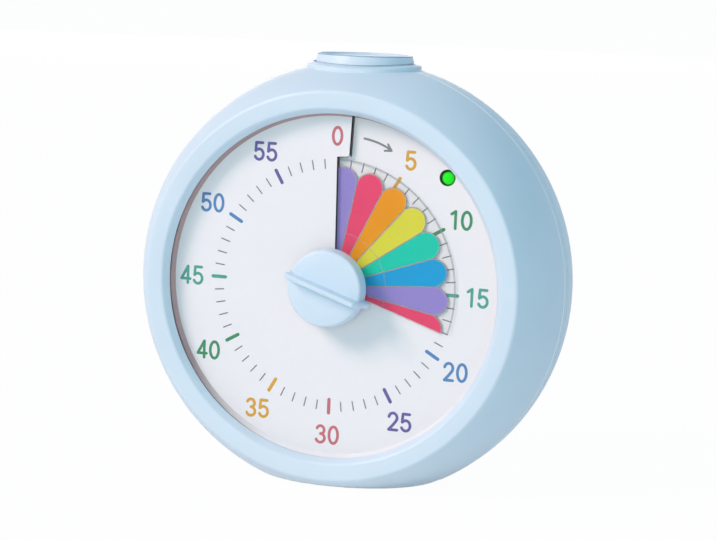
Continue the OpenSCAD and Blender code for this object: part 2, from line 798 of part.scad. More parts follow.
module arbor_wheel() color([0.92, 0.9, 0.85]) facing()
    gear(wheel_teeth, 0, arbor_d/2 + press_fit, arbor_wheel_w, arbor_wheel_w + wheel_t);

spring_h = 0.4; // height of the clutch's dished spring
spring_wall = 0.15;

module clutch_spring() color([0.7, 0.7, 0.72]) facing()
    translate([0, 0, arbor_wheel_w + wheel_t + press_fit]) difference() {
        cylinder(r1 = arbor_d/2 + 1.5*ring_w, r2 = arbor_d/2 + ring_w, h = spring_h);
        translate([0, 0, -spring_wall])
            cylinder(r1 = arbor_d/2 + 1.5*ring_w - spring_wall/2,
                r2 = arbor_d/2 + ring_w - spring_wall, h = spring_h);
        translate([0, 0, -cut]) cylinder(r = arbor_d/2 + press_fit, h = spring_h + 2*cut);
    }

module retaining_rings() color([0.6, 0.6, 0.62]) facing()
    for (w = [arbor_wheel_w + wheel_t + spring_h + running_fit,
            plate_back_w - sensor_h - ring_t - ring_gap])
        tube(arbor_d/2 + ring_w, arbor_d/2 + press_fit, w, w + ring_t);

module idler_gear() color([0.92, 0.9, 0.85]) facing() translate(idler_at) {
    bore = idler_axle_r + running_fit;
    gear(wheel_teeth, 0, bore, idler_wheel_w, idler_wheel_w + wheel_t);
    gear(pinion_teeth, mesh_deg, bore, idler_wheel_w + wheel_t/2,
        arbor_wheel_w + wheel_t + pinion_proud);
}

module idler_axle() color([0.72, 0.73, 0.75]) facing() translate(idler_at)
    rod(idler_axle_r, plate_back_w, floor_front_w - axle_floor - running_fit);

module motor() color([0.75, 0.76, 0.78]) facing() translate(motor_at) difference() {
    union() {
        rod(motor_d/2, plate_back_w - motor_l, plate_back_w);
        rod(motor_neck_r, plate_back_w - join, plate_front_w);
        rod(motor_end_r, plate_back_w - motor_l - motor_end_h, plate_back_w - motor_l + join);
    }
    rod(motor_shaft_r + running_fit, plate_back_w - motor_l + motor_wall, plate_front_w + cut);
}

module motor_shaft() color([0.72, 0.73, 0.75]) facing() translate(motor_at)
    rod(motor_shaft_r, plate_back_w - motor_l + motor_wall + ring_gap,
        idler_wheel_w + wheel_t + 2*pinion_proud);

module motor_pinion() color([0.85, 0.7, 0.35]) facing() translate(motor_at)
    gear(pinion_teeth, mesh_deg, motor_shaft_r + press_fit, idler_wheel_w - pinion_proud,
        idler_wheel_w + wheel_t + pinion_proud);

module movement_plate() color([0.9, 0.9, 0.88]) facing() difference() {
    translate(plate_at) rod(plate_r, plate_back_w, plate_front_w);
    rod(arbor_d/2 + running_fit, plate_back_w - cut, plate_front_w + cut);
    translate(idler_at) rod(idler_axle_r + press_fit, plate_back_w - cut, plate_front_w + cut);
    translate(motor_at) rod(motor_neck_r + press_fit, plate_back_w - cut, plate_front_w + cut);
    for (deg = pillar_angles) translate(plate_at + pillar_ring_r*[cos(deg), sin(deg)])
        rod(small_screw_r + screw_play, plate_back_w - cut, plate_front_w + cut);
}

// Screw whose head lies on the face at w, with its shank running towards the viewer
module small_screw(w, length) {
    rod(small_screw_r, w - join/2, w + length);
    difference() {
        rod(small_head_r, w - small_head_h, w);
        for (side = [0, 1]) rotate(90*side)
            block([small_recess_w, 3*small_screw_r], w - small_head_h - cut,
                w - small_head_h + small_recess_w);
    }
}

module movement_screws() color([0.75, 0.75, 0.77]) facing()
    for (deg = pillar_angles) translate(plate_at + pillar_ring_r*[cos(deg), sin(deg)])
        small_screw(plate_back_w, plate_t + small_screw_reach);

module frame_screws() color([0.75, 0.75, 0.77]) facing()
    at_angles(ear_ring_r, ear_angles) small_screw(floor_back_w, plate_t + small_screw_reach);

module position_sensor() color([0.2, 0.25, 0.3]) facing()
    tube(sensor_r, arbor_d/2 + running_fit, plate_back_w - sensor_h, plate_back_w);

module lamp() color([0.1, 0.95, 0.2]) facing() translate(lamp_at) {
    dome_w = dial_w(lamp_deg) - dial_t/2 - lamp_d/4;
    flange = [0.4, 1]; // width and thickness
    lead_r = 0.3;
    lead_l = 5;
    rod(lamp_d/2, floor_back_w - join, dome_w);
    difference() {
        translate([0, 0, dome_w]) sphere(r = lamp_d/2);
        rod(lamp_d, dome_w - lamp_d, dome_w - ring_gap);
    }
    rod(lamp_d/2 + flange[0], floor_back_w - flange[1], floor_back_w);
    for (x = [-1, 1]) translate([x*lamp_d/4, 0, 0])
        rod(lead_r, floor_back_w - flange[1] - lead_l, floor_back_w - join);
}

module top_button() color([0.85, 0.92, 0.97]) {
    neck_z = collar_z - skirt_drop - ring_gap;
    stem_z = switch_z + switch_h + plunger_h + stem_gap;
    ceiling_z = button_top_z - dish_depth - cap_t;
    dish_rim = 0.5;
    dish_r = button_top_d/2 - dish_rim;
    dish_lean = 0.4;
    difference() {
        rotate_extrude() polygon([[0, neck_z - flange_t], [flange_r, neck_z - flange_t],
            [flange_r, neck_z], [button_r, neck_z], [button_r, collar_z],
            [button_top_d/2, button_top_z], [0, button_top_z]]);
        translate([0, 0, neck_z - flange_t - cut])
            cylinder(r = button_r - cap_t, h = ceiling_z - neck_z + flange_t + cut);
        translate([0, 0, button_top_z - dish_depth])
            cylinder(r1 = dish_r - dish_lean, r2 = dish_r + dish_lean, h = 2*dish_depth);
    }
    translate([0, 0, stem_z]) cylinder(r = stem_r, h = ceiling_z - stem_z + join);
}

module button_spring() color([0.7, 0.7, 0.72]) translate([0, 0, switch_z + stem_gap])
    coil(spring_r, spring_r, spring_wire_r,
        button_top_z - dish_depth - cap_t - switch_z - 2*stem_gap, spring_turns);

module button_board() color([0.1, 0.45, 0.25]) difference() {
    translate([board_margin - shelf_x, -shelf_back_w - board_margin - button_board_l, button_board_z])
        cube([2*(shelf_x - board_margin), button_board_l, board_t]);
    for (x = [-1, 1]) translate([x*shelf_screw[0], shelf_screw[1], button_board_z - cut])
        cylinder(r = small_screw_r + screw_play, h = board_t + 2*cut);
}

module button_switch() color([0.15, 0.15, 0.16]) difference() {
    union() {
        translate([-switch_side/2, -switch_side/2, switch_z])
            cube([switch_side, switch_side, switch_h - switch_cup/2]);
        translate([-switch_lid_side/2, -switch_lid_side/2, switch_z])
            cube([switch_lid_side, switch_lid_side, switch_h]);
    }
    translate([0, 0, switch_z + switch_h - switch_cup])
        cylinder(r = plunger_r + plunger_play, h = switch_cup + cut);
}

module switch_plunger() color([0.85, 0.85, 0.85])
    translate([0, 0, switch_z + switch_h - plunger_guide])
        cylinder(r = plunger_r, h = plunger_guide + plunger_h);

module circuit_board() color([0.1, 0.45, 0.25]) facing() difference() {
    intersection() {
        rod(board_r, board_back_w, board_front_w);
        translate([-board_r, board_bottom_y, board_back_w - cut])
            cube([2*board_r, board_r, board_t + 2*cut]);
    }
    translate(buzzer_at) rod(buzzer_r + buzzer_play, board_back_w - cut, board_front_w + cut);
    for (at = board_posts) translate(at)
        rod(small_screw_r + screw_play, board_back_w - cut, board_front_w + cut);
}

module board_components() color([0.12, 0.12, 0.13]) facing() {
    for (chip = chips) translate([chip[0], chip[1], 0])
        block([chip[2], chip[3]], board_front_w, board_front_w + chip[4]);
    translate(capacitor_at) rod(capacitor_r, board_front_w, board_front_w + capacitor_h);
}

module board_screws() color([0.75, 0.75, 0.77]) {
    facing() for (at = board_posts) translate([at[0], at[1], board_front_w]) mirror([0, 0, 1])
        small_screw(0, board_t + small_screw_reach);
    for (x = [-1, 1]) translate([x*shelf_screw[0], shelf_screw[1], switch_z]) mirror([0, 0, 1])
        small_screw(0, board_t + shelf_t);
}

module buzzer() color([0.1, 0.1, 0.11]) facing() translate(buzzer_at) {
    w0 = rear_inner_w + buzzer_gap;
    difference() {
        rod(buzzer_r, w0, w0 + buzzer_h);
        rod(buzzer_mouth_r, w0 - cut, w0 + buzzer_h - buzzer_wall);
    }
}

module volume_switch() color([0.75, 0.76, 0.78]) facing() translate(volume_at) difference() {
    block(volume_body, board_back_w - volume_body_h, board_back_w);
    block([volume_groove[0], volume_groove[1]], rear_w, board_back_w - volume_body_h + volume_groove[2]);
}

module volume_slider() color([0.3, 0.33, 0.36]) facing() translate(volume_at) {
    stem_l = volume_groove[0] - 2*volume_travel - slider_corner;
    groove_w = board_back_w - volume_body_h + volume_groove[2];
    difference() {
        rounded_block([slider_w, slider_h], slider_corner, rear_w - slider_proud,
            rear_w + slider_recess - ring_gap);
        for (i = [-1:1]) translate([3*slider_groove*i, 0, 0])
            block([slider_groove, slider_h + cut], rear_w - cut, rear_w - slider_proud/2);
    }
    block([stem_l, volume_groove[1] - slider_groove], rear_w + join, groove_w - 2*ring_gap);
}

module battery_door() color([0.78, 0.88, 0.96]) facing() translate([0, box_y, 0]) difference() {
    union() {
        rounded_block([door_l, door_h], door_corner, rear_w, rear_w + door_t);
        for (y = [-1, 1]) translate([0, y*(opening_h/2 - door_bead[1]), 0])
            block([door_bead[0], door_bead[1]], rear_w + door_t/2, rear_w + door_t + door_bead[2]);
    }
    for (i = [0:4]) translate([0, opening_h/4 + grip_pitch*(2 - i), 0])
        block([door_bead[0] + 2*door_corner - 2*abs(i - 2), grip_line], rear_w - cut,
            rear_w + grip_depth);
}

module cell() {
    rotate([0, 90, 0]) {
        translate([0, 0, -cell_l/2]) cylinder(r = cell_d/2, h = cell_l - cap_l);
        translate([0, 0, cell_l/2 - cap_l - join]) cylinder(r = cap_r, h = cap_l + join);
    }
}

module battery_cells() color([0.75, 0.62, 0.35]) facing()
    for (side = [-1, 1]) translate([side*cell_shift, box_y + side*cell_pitch/2, cell_w])
        rotate(side > 0 ? 0 : 180) cell();

module contact_plates() color([0.8, 0.8, 0.82]) facing() {
    plate_w0 = cell_w - contact_h/2;
    contact_x = box_l/2 - contact_t/2 - press_fit;
    for (y = [-1, 1]) translate([contact_x, box_y + y*cell_pitch/2, 0])
        block([contact_t, contact_h], plate_w0, plate_w0 + contact_h);
    translate([-contact_x, box_y, 0])
        block([contact_t, cell_pitch + contact_h], plate_w0, plate_w0 + contact_h);
}

module contact_springs() color([0.8, 0.8, 0.82]) facing()
    for (side = [-1, 1])
        translate([-side*(box_l/2 - contact_t - 2*press_fit), box_y + side*cell_pitch/2, cell_w])
            rotate([0, side*90, 0])
                coil(contact_coil_r, contact_coil_r - contact_taper, contact_wire_r,
                    box_l/2 - contact_t - cell_l/2 + cell_shift - ring_gap, contact_turns);

module housing_screws() color([0.75, 0.75, 0.77]) facing()
    at_angles(boss_ring_r, boss_angles) {
        rod(screw_r, screw_seat_w - join/2, screw_reach_w);
        difference() {
            rod(screw_head_r, screw_seat_w - screw_head_h, screw_seat_w);
            for (side = [0, 1]) rotate(90*side)
                block([recess_w, 3*screw_r], screw_seat_w - screw_head_h - cut,
                    screw_seat_w - screw_head_h + recess_w);
        }
    }

module foot_pad() color([0.35, 0.37, 0.4]) pad_shape(0, 0, pad_t);

front_housing();
rear_housing();
window();
dial_frame();
dial_plate();
colour_film();
film_hub();
knob();
arbor();
arbor_bush();
arbor_wheel();
clutch_spring();
retaining_rings();
idler_gear();
idler_axle();
motor();
motor_shaft();
motor_pinion();
movement_plate();
movement_screws();
position_sensor();
frame_screws();
lamp();
top_button();
button_spring();
button_board();
button_switch();
switch_plunger();
circuit_board();
board_components();
board_screws();
buzzer();
volume_switch();
volume_slider();
battery_door();
battery_cells();
contact_plates();
contact_springs();
housing_screws();
foot_pad();
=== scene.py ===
"""Visual countdown timer: the looks of the timer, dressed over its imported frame.

Lengths are written in millimetres and become metres in the meshes. A place on the dial
is (x, y, w): x to the right and y up from the dial's centre, and w towards the viewer
from the seam between the two shells. Angles on the dial run clockwise from twelve.
"""

import json
from math import asin, atan2, cos, degrees, hypot, pi, radians, sin, sqrt

import bmesh
import bpy
from mathutils import Matrix, Vector


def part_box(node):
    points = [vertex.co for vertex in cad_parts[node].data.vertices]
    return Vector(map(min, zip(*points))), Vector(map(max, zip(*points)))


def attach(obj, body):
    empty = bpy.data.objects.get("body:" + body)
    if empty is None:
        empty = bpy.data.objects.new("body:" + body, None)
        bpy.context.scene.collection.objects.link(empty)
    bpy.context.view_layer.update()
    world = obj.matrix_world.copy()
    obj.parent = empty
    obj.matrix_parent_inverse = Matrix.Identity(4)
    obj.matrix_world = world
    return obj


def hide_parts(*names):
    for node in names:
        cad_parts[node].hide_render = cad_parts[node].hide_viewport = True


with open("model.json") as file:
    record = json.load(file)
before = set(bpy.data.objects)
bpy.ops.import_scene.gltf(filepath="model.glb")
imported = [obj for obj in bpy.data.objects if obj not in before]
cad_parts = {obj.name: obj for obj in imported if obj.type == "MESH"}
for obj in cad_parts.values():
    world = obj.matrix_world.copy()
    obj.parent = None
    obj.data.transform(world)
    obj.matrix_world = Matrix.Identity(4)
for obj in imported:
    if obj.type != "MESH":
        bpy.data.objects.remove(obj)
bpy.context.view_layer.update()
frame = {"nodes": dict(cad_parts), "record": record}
NODES = frame["nodes"]

MM = 0.001


# ------------------------------------------------------------------- sizes, from the frame


def node_box(name):
    """Lowest and highest corner of a CAD node, in millimetres."""
    low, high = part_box(name)
    return [v / MM for v in low], [v / MM for v in high]


def node_front(name):
    return -node_box(name)[0][1]


def node_rear(name):
    return -node_box(name)[1][1]


# Drum: its side is an arc of SIDE_ARC_R turned about the dial's axis
DIAL_H = 48.0
FOOT_Z = node_box("front_housing")[0][2]
FRONT_W = node_front("front_housing")
BODY_R = 52.5
SIDE_ARC_R = 37.7
ARC_X = BODY_R - SIDE_ARC_R
EDGE_R = 1.2
WALL = 2.0
FOOT_BLEND = 0.35
SHELL_STEPS = 26

# Seam: half its gap, the rounding of its edge, and the bead beside it
SEAM = 0.05
SEAM_ROUND = 0.25
BEAD_W = 2.9
BEAD_HALF = 0.18
BEAD_RISE = 0.1
BEAD_ROOT = 0.1
BEAD_SPAN = 137.1
BEAD_STARTS = (("right", 15.4), ("left", 207.5))

# Window, the lip over its edge, and the sloped ring under it
WINDOW_FRONT_W = node_front("window")
WINDOW_BACK_W = node_rear("window")
WINDOW_R = 40.4
LIP_SEAT_W = WINDOW_FRONT_W + 0.02
RIM_OPENING_R = 41.75
RING_FOOT_R = 39.98
RING_TOP_R = 41.0
RING_GAP = 0.03

# Dial plate and film: sheets that climb by PITCH in one turn
DIAL_T = 0.5
DIAL_R = 40.6
DIAL_HOLE_R = 4.6
DIAL_MID_W = node_rear("dial_plate") + DIAL_T / 2
PITCH = 1.2
FILM_OFFSET = PITCH / 2
FILM_T = 0.2
FILM_R = 30.0
LEAD_DEG = 108.6
TICK_R = 30.5

# Slot in the dial: its left edge jogs to the right at SLOT_JOG_R
SLOT_W = 0.15
SLOT_JOG_R = 30.35
SLOT_FOOT_X, SLOT_INNER_X = 0.45, 0.05
SLOT_OUTER_X, SLOT_EDGE_X = 3.0, 3.4

# Knob: a disc with a grip fin, whose longer end is the pointer
KNOB_NECK_R = 4.9
KNOB_BASE_W = WINDOW_FRONT_W + 1.2
KNOB_FACE_W = KNOB_BASE_W + 3.7
KNOB_R = 9.3
KNOB_FACE_R = 8.7
FIN_FOOT_W = KNOB_BASE_W + 0.2
FIN_TOP_W = node_front("knob")
FIN_T = 1.3
FIN_TAIL_R = KNOB_R + 0.15
POINTER_R = 11.0

# Lamp: a dome in a cup, in a hole of the dial
LAMP_X, LAMP_Y = 26.6, 27.2
LAMP_DEG = 45
LAMP_HOLE_R = 1.925
LAMP_R = 1.52
LAMP_CENTRE_SINK = 0.9
LAMP_LENGTH = 4
LAMP_LEAN_X, LAMP_LEAN_Y = 0.15, -0.12
CUP_FLOOR_R = 1.1
CUP_FLOOR_SINK = 0.42
CUP_REAR_SINK = 2.6
CUP_TOP_SINK = 0.04

# Button, its hole, and the collar that follows the drum
BUTTON_TOP_Z = node_box("top_button")[1][2]
BUTTON_R = 11.9
BUTTON_TOP_R = 11.3
BUTTON_HOLE_R = BUTTON_R + 0.35
BUTTON_HOLE_Z = (60, 110)
COLLAR_R = 13.6
COLLAR_RISE = 0.9
COLLAR_DEPTH = 3.4
COLLAR_Z = DIAL_H + sqrt((BODY_R + COLLAR_RISE) ** 2 - COLLAR_R**2)


def dial_front_w(deg):
    """Depth of the dial plate's printed face at an angle."""
    return DIAL_MID_W + PITCH * deg / 360 + DIAL_T / 2


def film_front_w(deg):
    return DIAL_MID_W + PITCH * deg / 360 + FILM_OFFSET + FILM_T / 2


def place(x, y, w):
    """A place on the dial's axes as a point in metres."""
    return Vector((x * MM, -w * MM, (DIAL_H + y) * MM))


def polar(r, deg):
    return r * sin(radians(deg)), r * cos(radians(deg))


def slot_x(r):
    """Distance of the slot's left edge from the twelve o'clock line at a radius."""
    if r <= SLOT_JOG_R:
        share = (r - DIAL_HOLE_R) / (SLOT_JOG_R - DIAL_HOLE_R)
        return SLOT_FOOT_X + (SLOT_INNER_X - SLOT_FOOT_X) * share
    share = (r - SLOT_JOG_R) / (DIAL_R - SLOT_JOG_R)
    return SLOT_OUTER_X + (SLOT_EDGE_X - SLOT_OUTER_X) * share


def slot_point(r):
    """The slot's left edge at a radius, as a place (x, y)."""
    x = slot_x(r)
    return Vector((x, sqrt(r**2 - x**2)))


def dial_depth(x, y):
    """Depth of the printed face at a place on the dial. What lies past twelve but left of
    the slot is the dial's high end."""
    deg = degrees(atan2(x, y)) % 360
    if deg < 30 and x < slot_x(hypot(x, y)) + SLOT_W / 2:
        deg += 360
    return dial_front_w(deg)


# ------------------------------------------------------------------------------ materials


def srgb(r, g, b):
    """A colour given as it shows on a screen, 0 to 255, as linear light."""

    def linear(c):
        c /= 255
        return c / 12.92 if c <= 0.04045 else ((c + 0.055) / 1.055) ** 2.4

    return linear(r), linear(g), linear(b)


def tinted(colour, factor):
    return tuple(min(1.0, c * factor) for c in colour) + (1.0,)


BUMP_HEIGHT = 0.2 * MM


def surface(
    name,
    colour,
    rough=0.4,
    rough_spread=0.05,
    mottle=0.03,
    mottle_scale=60,
    grain=0.02,
    grain_scale=2200,
    metallic=0.0,
    **sockets,
):
    """A moulded, turned or printed surface: slight colour drift, roughness and fine grain."""
    material = bpy.data.materials.new(name)
    material.use_nodes = True
    tree = material.node_tree
    nodes, links = tree.nodes, tree.links
    shader = nodes["Principled BSDF"]
    place_node = nodes.new("ShaderNodeTexCoord")

    drift = nodes.new("ShaderNodeTexNoise")
    drift.inputs["Scale"].default_value = mottle_scale
    drift.inputs["Detail"].default_value = 3
    links.new(place_node.outputs["Object"], drift.inputs["Vector"])
    ramp = nodes.new("ShaderNodeValToRGB")
    ends = ramp.color_ramp.elements
    ends[0].position, ends[1].position = 0.3, 0.7
    ends[0].color, ends[1].color = tinted(colour, 1 - mottle), tinted(colour, 1 + mottle)
    links.new(drift.outputs["Fac"], ramp.inputs["Fac"])
    links.new(ramp.outputs["Color"], shader.inputs["Base Color"])

    fine = nodes.new("ShaderNodeTexNoise")
    fine.inputs["Scale"].default_value = grain_scale
    fine.inputs["Detail"].default_value = 2
    links.new(place_node.outputs["Object"], fine.inputs["Vector"])
    spread = nodes.new("ShaderNodeMapRange")
    spread.inputs["To Min"].default_value = rough - rough_spread
    spread.inputs["To Max"].default_value = rough + rough_spread
    links.new(fine.outputs["Fac"], spread.inputs["Value"])
    links.new(spread.outputs["Result"], shader.inputs["Roughness"])
    bump = nodes.new("ShaderNodeBump")
    bump.inputs["Strength"].default_value = grain
    bump.inputs["Distance"].default_value = BUMP_HEIGHT
    links.new(fine.outputs["Fac"], bump.inputs["Height"])
    links.new(bump.outputs["Normal"], shader.inputs["Normal"])

    shader.inputs["Metallic"].default_value = metallic
    for socket, value in sockets.items():
        shader.inputs[socket.replace("_", " ")].default_value = value
    return material


BLUE = srgb(209, 229, 244)
DIAL_WHITE = srgb(236, 238, 243)
INK = {
    "pink": srgb(194, 104, 116),
    "amber": srgb(214, 160, 36),
    "green": srgb(44, 138, 92),
    "teal": srgb(62, 160, 142),
    "blue": srgb(74, 130, 186),
    "purple": srgb(94, 84, 156),
}
PETAL = {
    "purple": srgb(150, 136, 208),
    "pink": srgb(234, 70, 112),
    "orange": srgb(238, 154, 10),
    "yellow": srgb(221, 218, 64),
    "teal": srgb(0, 204, 176),
    "blue": srgb(0, 160, 218),
}

# Painted shade on the ring: its colour pales from shaded mauve to white along z - slant * x,
# between these two heights
RING_SHADE_SLANT = 1.333
RING_SHADE_LOW, RING_SHADE_HIGH = DIAL_H - 18, DIAL_H + 26


def frame_surface():
    """The ring under the window, with painted shade: mauve at its upper left, which stands for
    the shade there, paling to white at its lower right, where light falls."""
    # painted shade: the mauve is the ring's shaded look, not a colour of its own
    material = surface("frame_painted_shade", srgb(182, 156, 158), rough=0.5, mottle=0.02,
                       Specular_IOR_Level=0.2)
    tree = material.node_tree
    nodes, links = tree.nodes, tree.links
    place_node = next(n for n in nodes if n.type == "TEX_COORD")
    ramp = next(n for n in nodes if n.type == "VALTORGB")
    split = nodes.new("ShaderNodeSeparateXYZ")
    links.new(place_node.outputs["Object"], split.inputs[0])
    across = nodes.new("ShaderNodeMath")
    across.operation = "MULTIPLY_ADD"
    across.inputs[1].default_value = -RING_SHADE_SLANT
    links.new(split.outputs["X"], across.inputs[0])
    links.new(split.outputs["Z"], across.inputs[2])
    shade_fade = nodes.new("ShaderNodeMapRange")
    shade_fade.inputs["From Min"].default_value = RING_SHADE_LOW * MM
    shade_fade.inputs["From Max"].default_value = RING_SHADE_HIGH * MM
    links.new(across.outputs[0], shade_fade.inputs["Value"])
    # painted shade: blends the dial's white into the shaded mauve across the ring
    blend = nodes.new("ShaderNodeMix")
    blend.data_type = "RGBA"
    blend.inputs["A"].default_value = (*DIAL_WHITE, 1)
    links.new(shade_fade.outputs["Result"], blend.inputs["Factor"])
    links.new(ramp.outputs["Color"], blend.inputs["B"])
    links.new(blend.outputs["Result"], nodes["Principled BSDF"].inputs["Base Color"])
    return material


def make_materials():
    made = {
        "housing": surface("housing_blue", BLUE, rough=0.42, grain=0.05, mottle=0.012),
        "button": surface("button_blue", BLUE, rough=0.38, grain=0.04, mottle=0.012),
        # painted shade: darker blue-grey for the shaded edge of the button's rim
        "button_rim_shade": surface("button_rim_shade", srgb(150, 174, 198), rough=0.4, mottle=0.02),
        "knob": surface("knob_blue", srgb(209, 230, 246), rough=0.38, grain=0.04,
                        mottle=0.012),
        "dial": surface("dial_white", DIAL_WHITE, rough=0.6, grain=0.015, mottle=0.006),
        # painted shade: near-black for the shadow in the slot under the dial's high end
        "slot_shade_strip": surface("slot_shade_strip", srgb(22, 22, 40), rough=0.6, mottle=0.03,
                             Specular_IOR_Level=0.1),
        # painted shade: the frame material darkens the ring and frame towards the upper left
        "frame": frame_surface(),
        # painted highlight: lighter than the housing, for the glint along the seam
        "seam": surface("seam_painted_highlight", srgb(240, 249, 255), rough=0.3, mottle=0.005),
        "grey_ink": surface("grey_ink", srgb(116, 126, 132), rough=0.5, mottle=0.02),
        "tick_ink": surface("tick_ink", srgb(108, 110, 120), rough=0.5, mottle=0.02),
        "window": surface("window_clear", srgb(244, 248, 250), rough=0.04,
                          rough_spread=0.01, mottle=0.0, grain=0.0, Alpha=0.012),
        "film": surface("film_clear", srgb(234, 238, 240), rough=0.2, mottle=0.01,
                        grain=0.01, Alpha=0.02),
        "film_rim": surface("film_rim", srgb(206, 212, 216), rough=0.25, mottle=0.01,
                            Alpha=0.42),
        "petal_edge": surface("petal_edge", srgb(255, 244, 248), rough=0.3, mottle=0.0,
                              Alpha=0.17),
        "lamp": surface("lamp_green", srgb(4, 190, 12), rough=0.2, mottle=0.06,
                        mottle_scale=900, Specular_IOR_Level=0.05,
                        Emission_Color=(*srgb(2, 236, 16), 1), Emission_Strength=0.5),
        "lamp_cup": surface("lamp_cup_green", srgb(3, 62, 10), rough=0.6, mottle=0.05,
                            Specular_IOR_Level=0.0),
        "steel": surface("turned_steel", srgb(186, 188, 192), rough=0.3, metallic=1.0),
        "spring_steel": surface("spring_steel", srgb(200, 200, 202), rough=0.2,
                                metallic=1.0),
        "brass": surface("turned_brass", srgb(206, 170, 96), rough=0.28, metallic=1.0),
        "gear": surface("gear_acetal", srgb(236, 232, 220), rough=0.4),
        "dark": surface("dark_plastic", srgb(34, 34, 37), rough=0.45),
        "clear": surface("hub_clear", srgb(214, 226, 230), rough=0.3),
        "white_plastic": surface("white_plastic", srgb(220, 220, 220), rough=0.4),
        "slider": surface("slider_grey", srgb(86, 94, 104), rough=0.5, grain=0.06),
        "laminate": surface("circuit_green", srgb(24, 104, 62), rough=0.35, mottle=0.12,
                            mottle_scale=500),
        "cell": surface("cell_sleeve", srgb(196, 160, 92), rough=0.25, mottle=0.04),
        "rubber": surface("pad_rubber", srgb(96, 100, 108), rough=0.8, grain=0.1),
    }
    for key, colour in INK.items():
        made["ink_" + key] = surface("ink_" + key, colour, rough=0.5, mottle=0.02)
    for key, colour in PETAL.items():
        made["petal_" + key] = surface("petal_" + key, colour, rough=0.3, mottle=0.03,
                                       mottle_scale=90, grain=0.01, Alpha=0.97,
                                       Specular_IOR_Level=0.15)
    return made


MATERIALS = make_materials()

SLOT_MATERIAL = {
    "housing_plastic": "housing", "button_plastic": "button", "knob_plastic": "knob",
    "window_acrylic": "window", "dial_card": "dial", "frame_plastic": "frame",
    "film_print": "film", "clear_plastic": "clear", "steel": "steel",
    "spring_steel": "spring_steel", "brass": "brass", "gear_plastic": "gear",
    "screw_steel": "steel", "dark_plastic": "dark", "plunger_plastic": "white_plastic",
    "switch_metal": "steel", "slider_plastic": "slider", "circuit_laminate": "laminate",
    "lamp_green": "lamp", "cell_sleeve": "cell", "pad_rubber": "rubber",
}


def dress_nodes():
    """Every CAD node that stays gets the material of its slot."""
    for part in frame["record"]["subparts"]:
        mesh = NODES[part["node"]].data
        mesh.materials.clear()
        mesh.materials.append(MATERIALS[SLOT_MATERIAL[part["material_slot"]]])


# ---------------------------------------------------------------------------- mesh helpers

WELD_DISTANCE = 1e-7
SHARP_ANGLE = radians(38)


def new_object(name, verts, faces, weld=False):
    """An object in the scene, with its normals outwards."""
    mesh = bpy.data.meshes.new(name)
    mesh.from_pydata([tuple(v) for v in verts], [], faces)
    if weld:
        mesh.validate()
    solid = bmesh.new()
    solid.from_mesh(mesh)
    if weld:
        bmesh.ops.remove_doubles(solid, verts=solid.verts, dist=WELD_DISTANCE)
    bmesh.ops.recalc_face_normals(solid, faces=solid.faces)
    solid.to_mesh(mesh)
    solid.free()
    made = bpy.data.objects.new(name, mesh)
    bpy.context.scene.collection.objects.link(made)
    return made


def shade(mesh):
    """Smooth faces, with sharp edges where the surface turns."""
    mesh.shade_smooth()
    mesh.set_sharp_from_angle(angle=SHARP_ANGLE)


def make_piece(name, verts, faces, material, body, smooth=True, stands_for=()):
    """A visible piece that rides on a body and stands for none or some of the CAD nodes."""
    piece = new_object(name, verts, faces, weld=True)
    piece.data.materials.append(MATERIALS[material])
    if smooth:
        shade(piece.data)
    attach(piece, body)
    if stands_for:
        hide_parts(*stands_for)
    return piece


def arc(cx, cy, r, deg0, deg1, steps):
    """Points on an arc, with angles counter-clockwise from the first axis."""
    return ellipse(cx, cy, r, r, deg0, deg1, steps)


def ellipse(cx, cy, rx, ry, deg0, deg1, steps):
    return [(cx + rx * cos(radians(deg0 + (deg1 - deg0) * i / steps)),
             cy + ry * sin(radians(deg0 + (deg1 - deg0) * i / steps)))
            for i in range(steps + 1)]


def rounded(points, radii, steps=5):
    """A closed outline whose corners are rounded: radii holds one radius per corner."""
    out = []
    count = len(points)
    for i, (px, py) in enumerate(points):
        r = radii[i]
        if r <= 0:
            out.append((px, py))
            continue
        before, after = Vector(points[i - 1]), Vector(points[(i + 1) % count])
        corner = Vector((px, py))
        to_a, to_b = (before - corner).normalized(), (after - corner).normalized()
        half = to_a.angle(to_b) / 2
        back = r / max(1e-6, sin(half) / cos(half))
        centre = corner + (to_a + to_b).normalized() * (r / sin(half))
        a, b = corner + to_a * back - centre, corner + to_b * back - centre
        sweep = a.angle_signed(b)
        for k in range(steps + 1):
            turn = -sweep * k / steps
            out.append((centre.x + a.x * cos(turn) - a.y * sin(turn),
                        centre.y + a.x * sin(turn) + a.y * cos(turn)))
    return out


def lathe(outline, to_point, segments=192, deg0=0.0, deg1=360.0):
    """Turns a closed outline of (radius, height) about an axis. to_point maps
    (radius, degrees, height) to a point in metres. Ends are capped if it isn't a full turn."""
    full = abs(deg1 - deg0 - 360) < 1e-6
    rings = segments if full else segments + 1
    verts, faces = [], []
    count = len(outline)
    for i in range(rings):
        deg = deg0 + (deg1 - deg0) * i / segments
        verts += [to_point(r, deg, h) for r, h in outline]
    for i in range(segments):
        a, b = i * count, ((i + 1) % rings) * count
        for j in range(count):
            k = (j + 1) % count
            if outline[j][0] < 1e-6 and outline[k][0] < 1e-6:
                continue
            faces.append((a + j, a + k, b + k, b + j))
    if not full:
        faces.append(tuple(range(count)))
        faces.append(tuple(range((rings - 1) * count + count - 1, (rings - 1) * count - 1, -1)))
    return verts, faces


def tube_faces(start, spans, sides):
    """Faces of a tube whose cross-sections of some sides follow each other, with both
    ends closed."""
    faces = []
    for i in range(spans):
        a, b = start + sides * i, start + sides * (i + 1)
        for j in range(sides):
            k = (j + 1) % sides
            faces.append((a + j, a + k, b + k, b + j))
    last = start + sides * spans
    faces.append(tuple(start + j for j in range(sides)))
    faces.append(tuple(last + j for j in reversed(range(sides))))
    return faces


def about_dial(r, deg, w):
    x, y = polar(r, deg)
    return place(x, y, w)


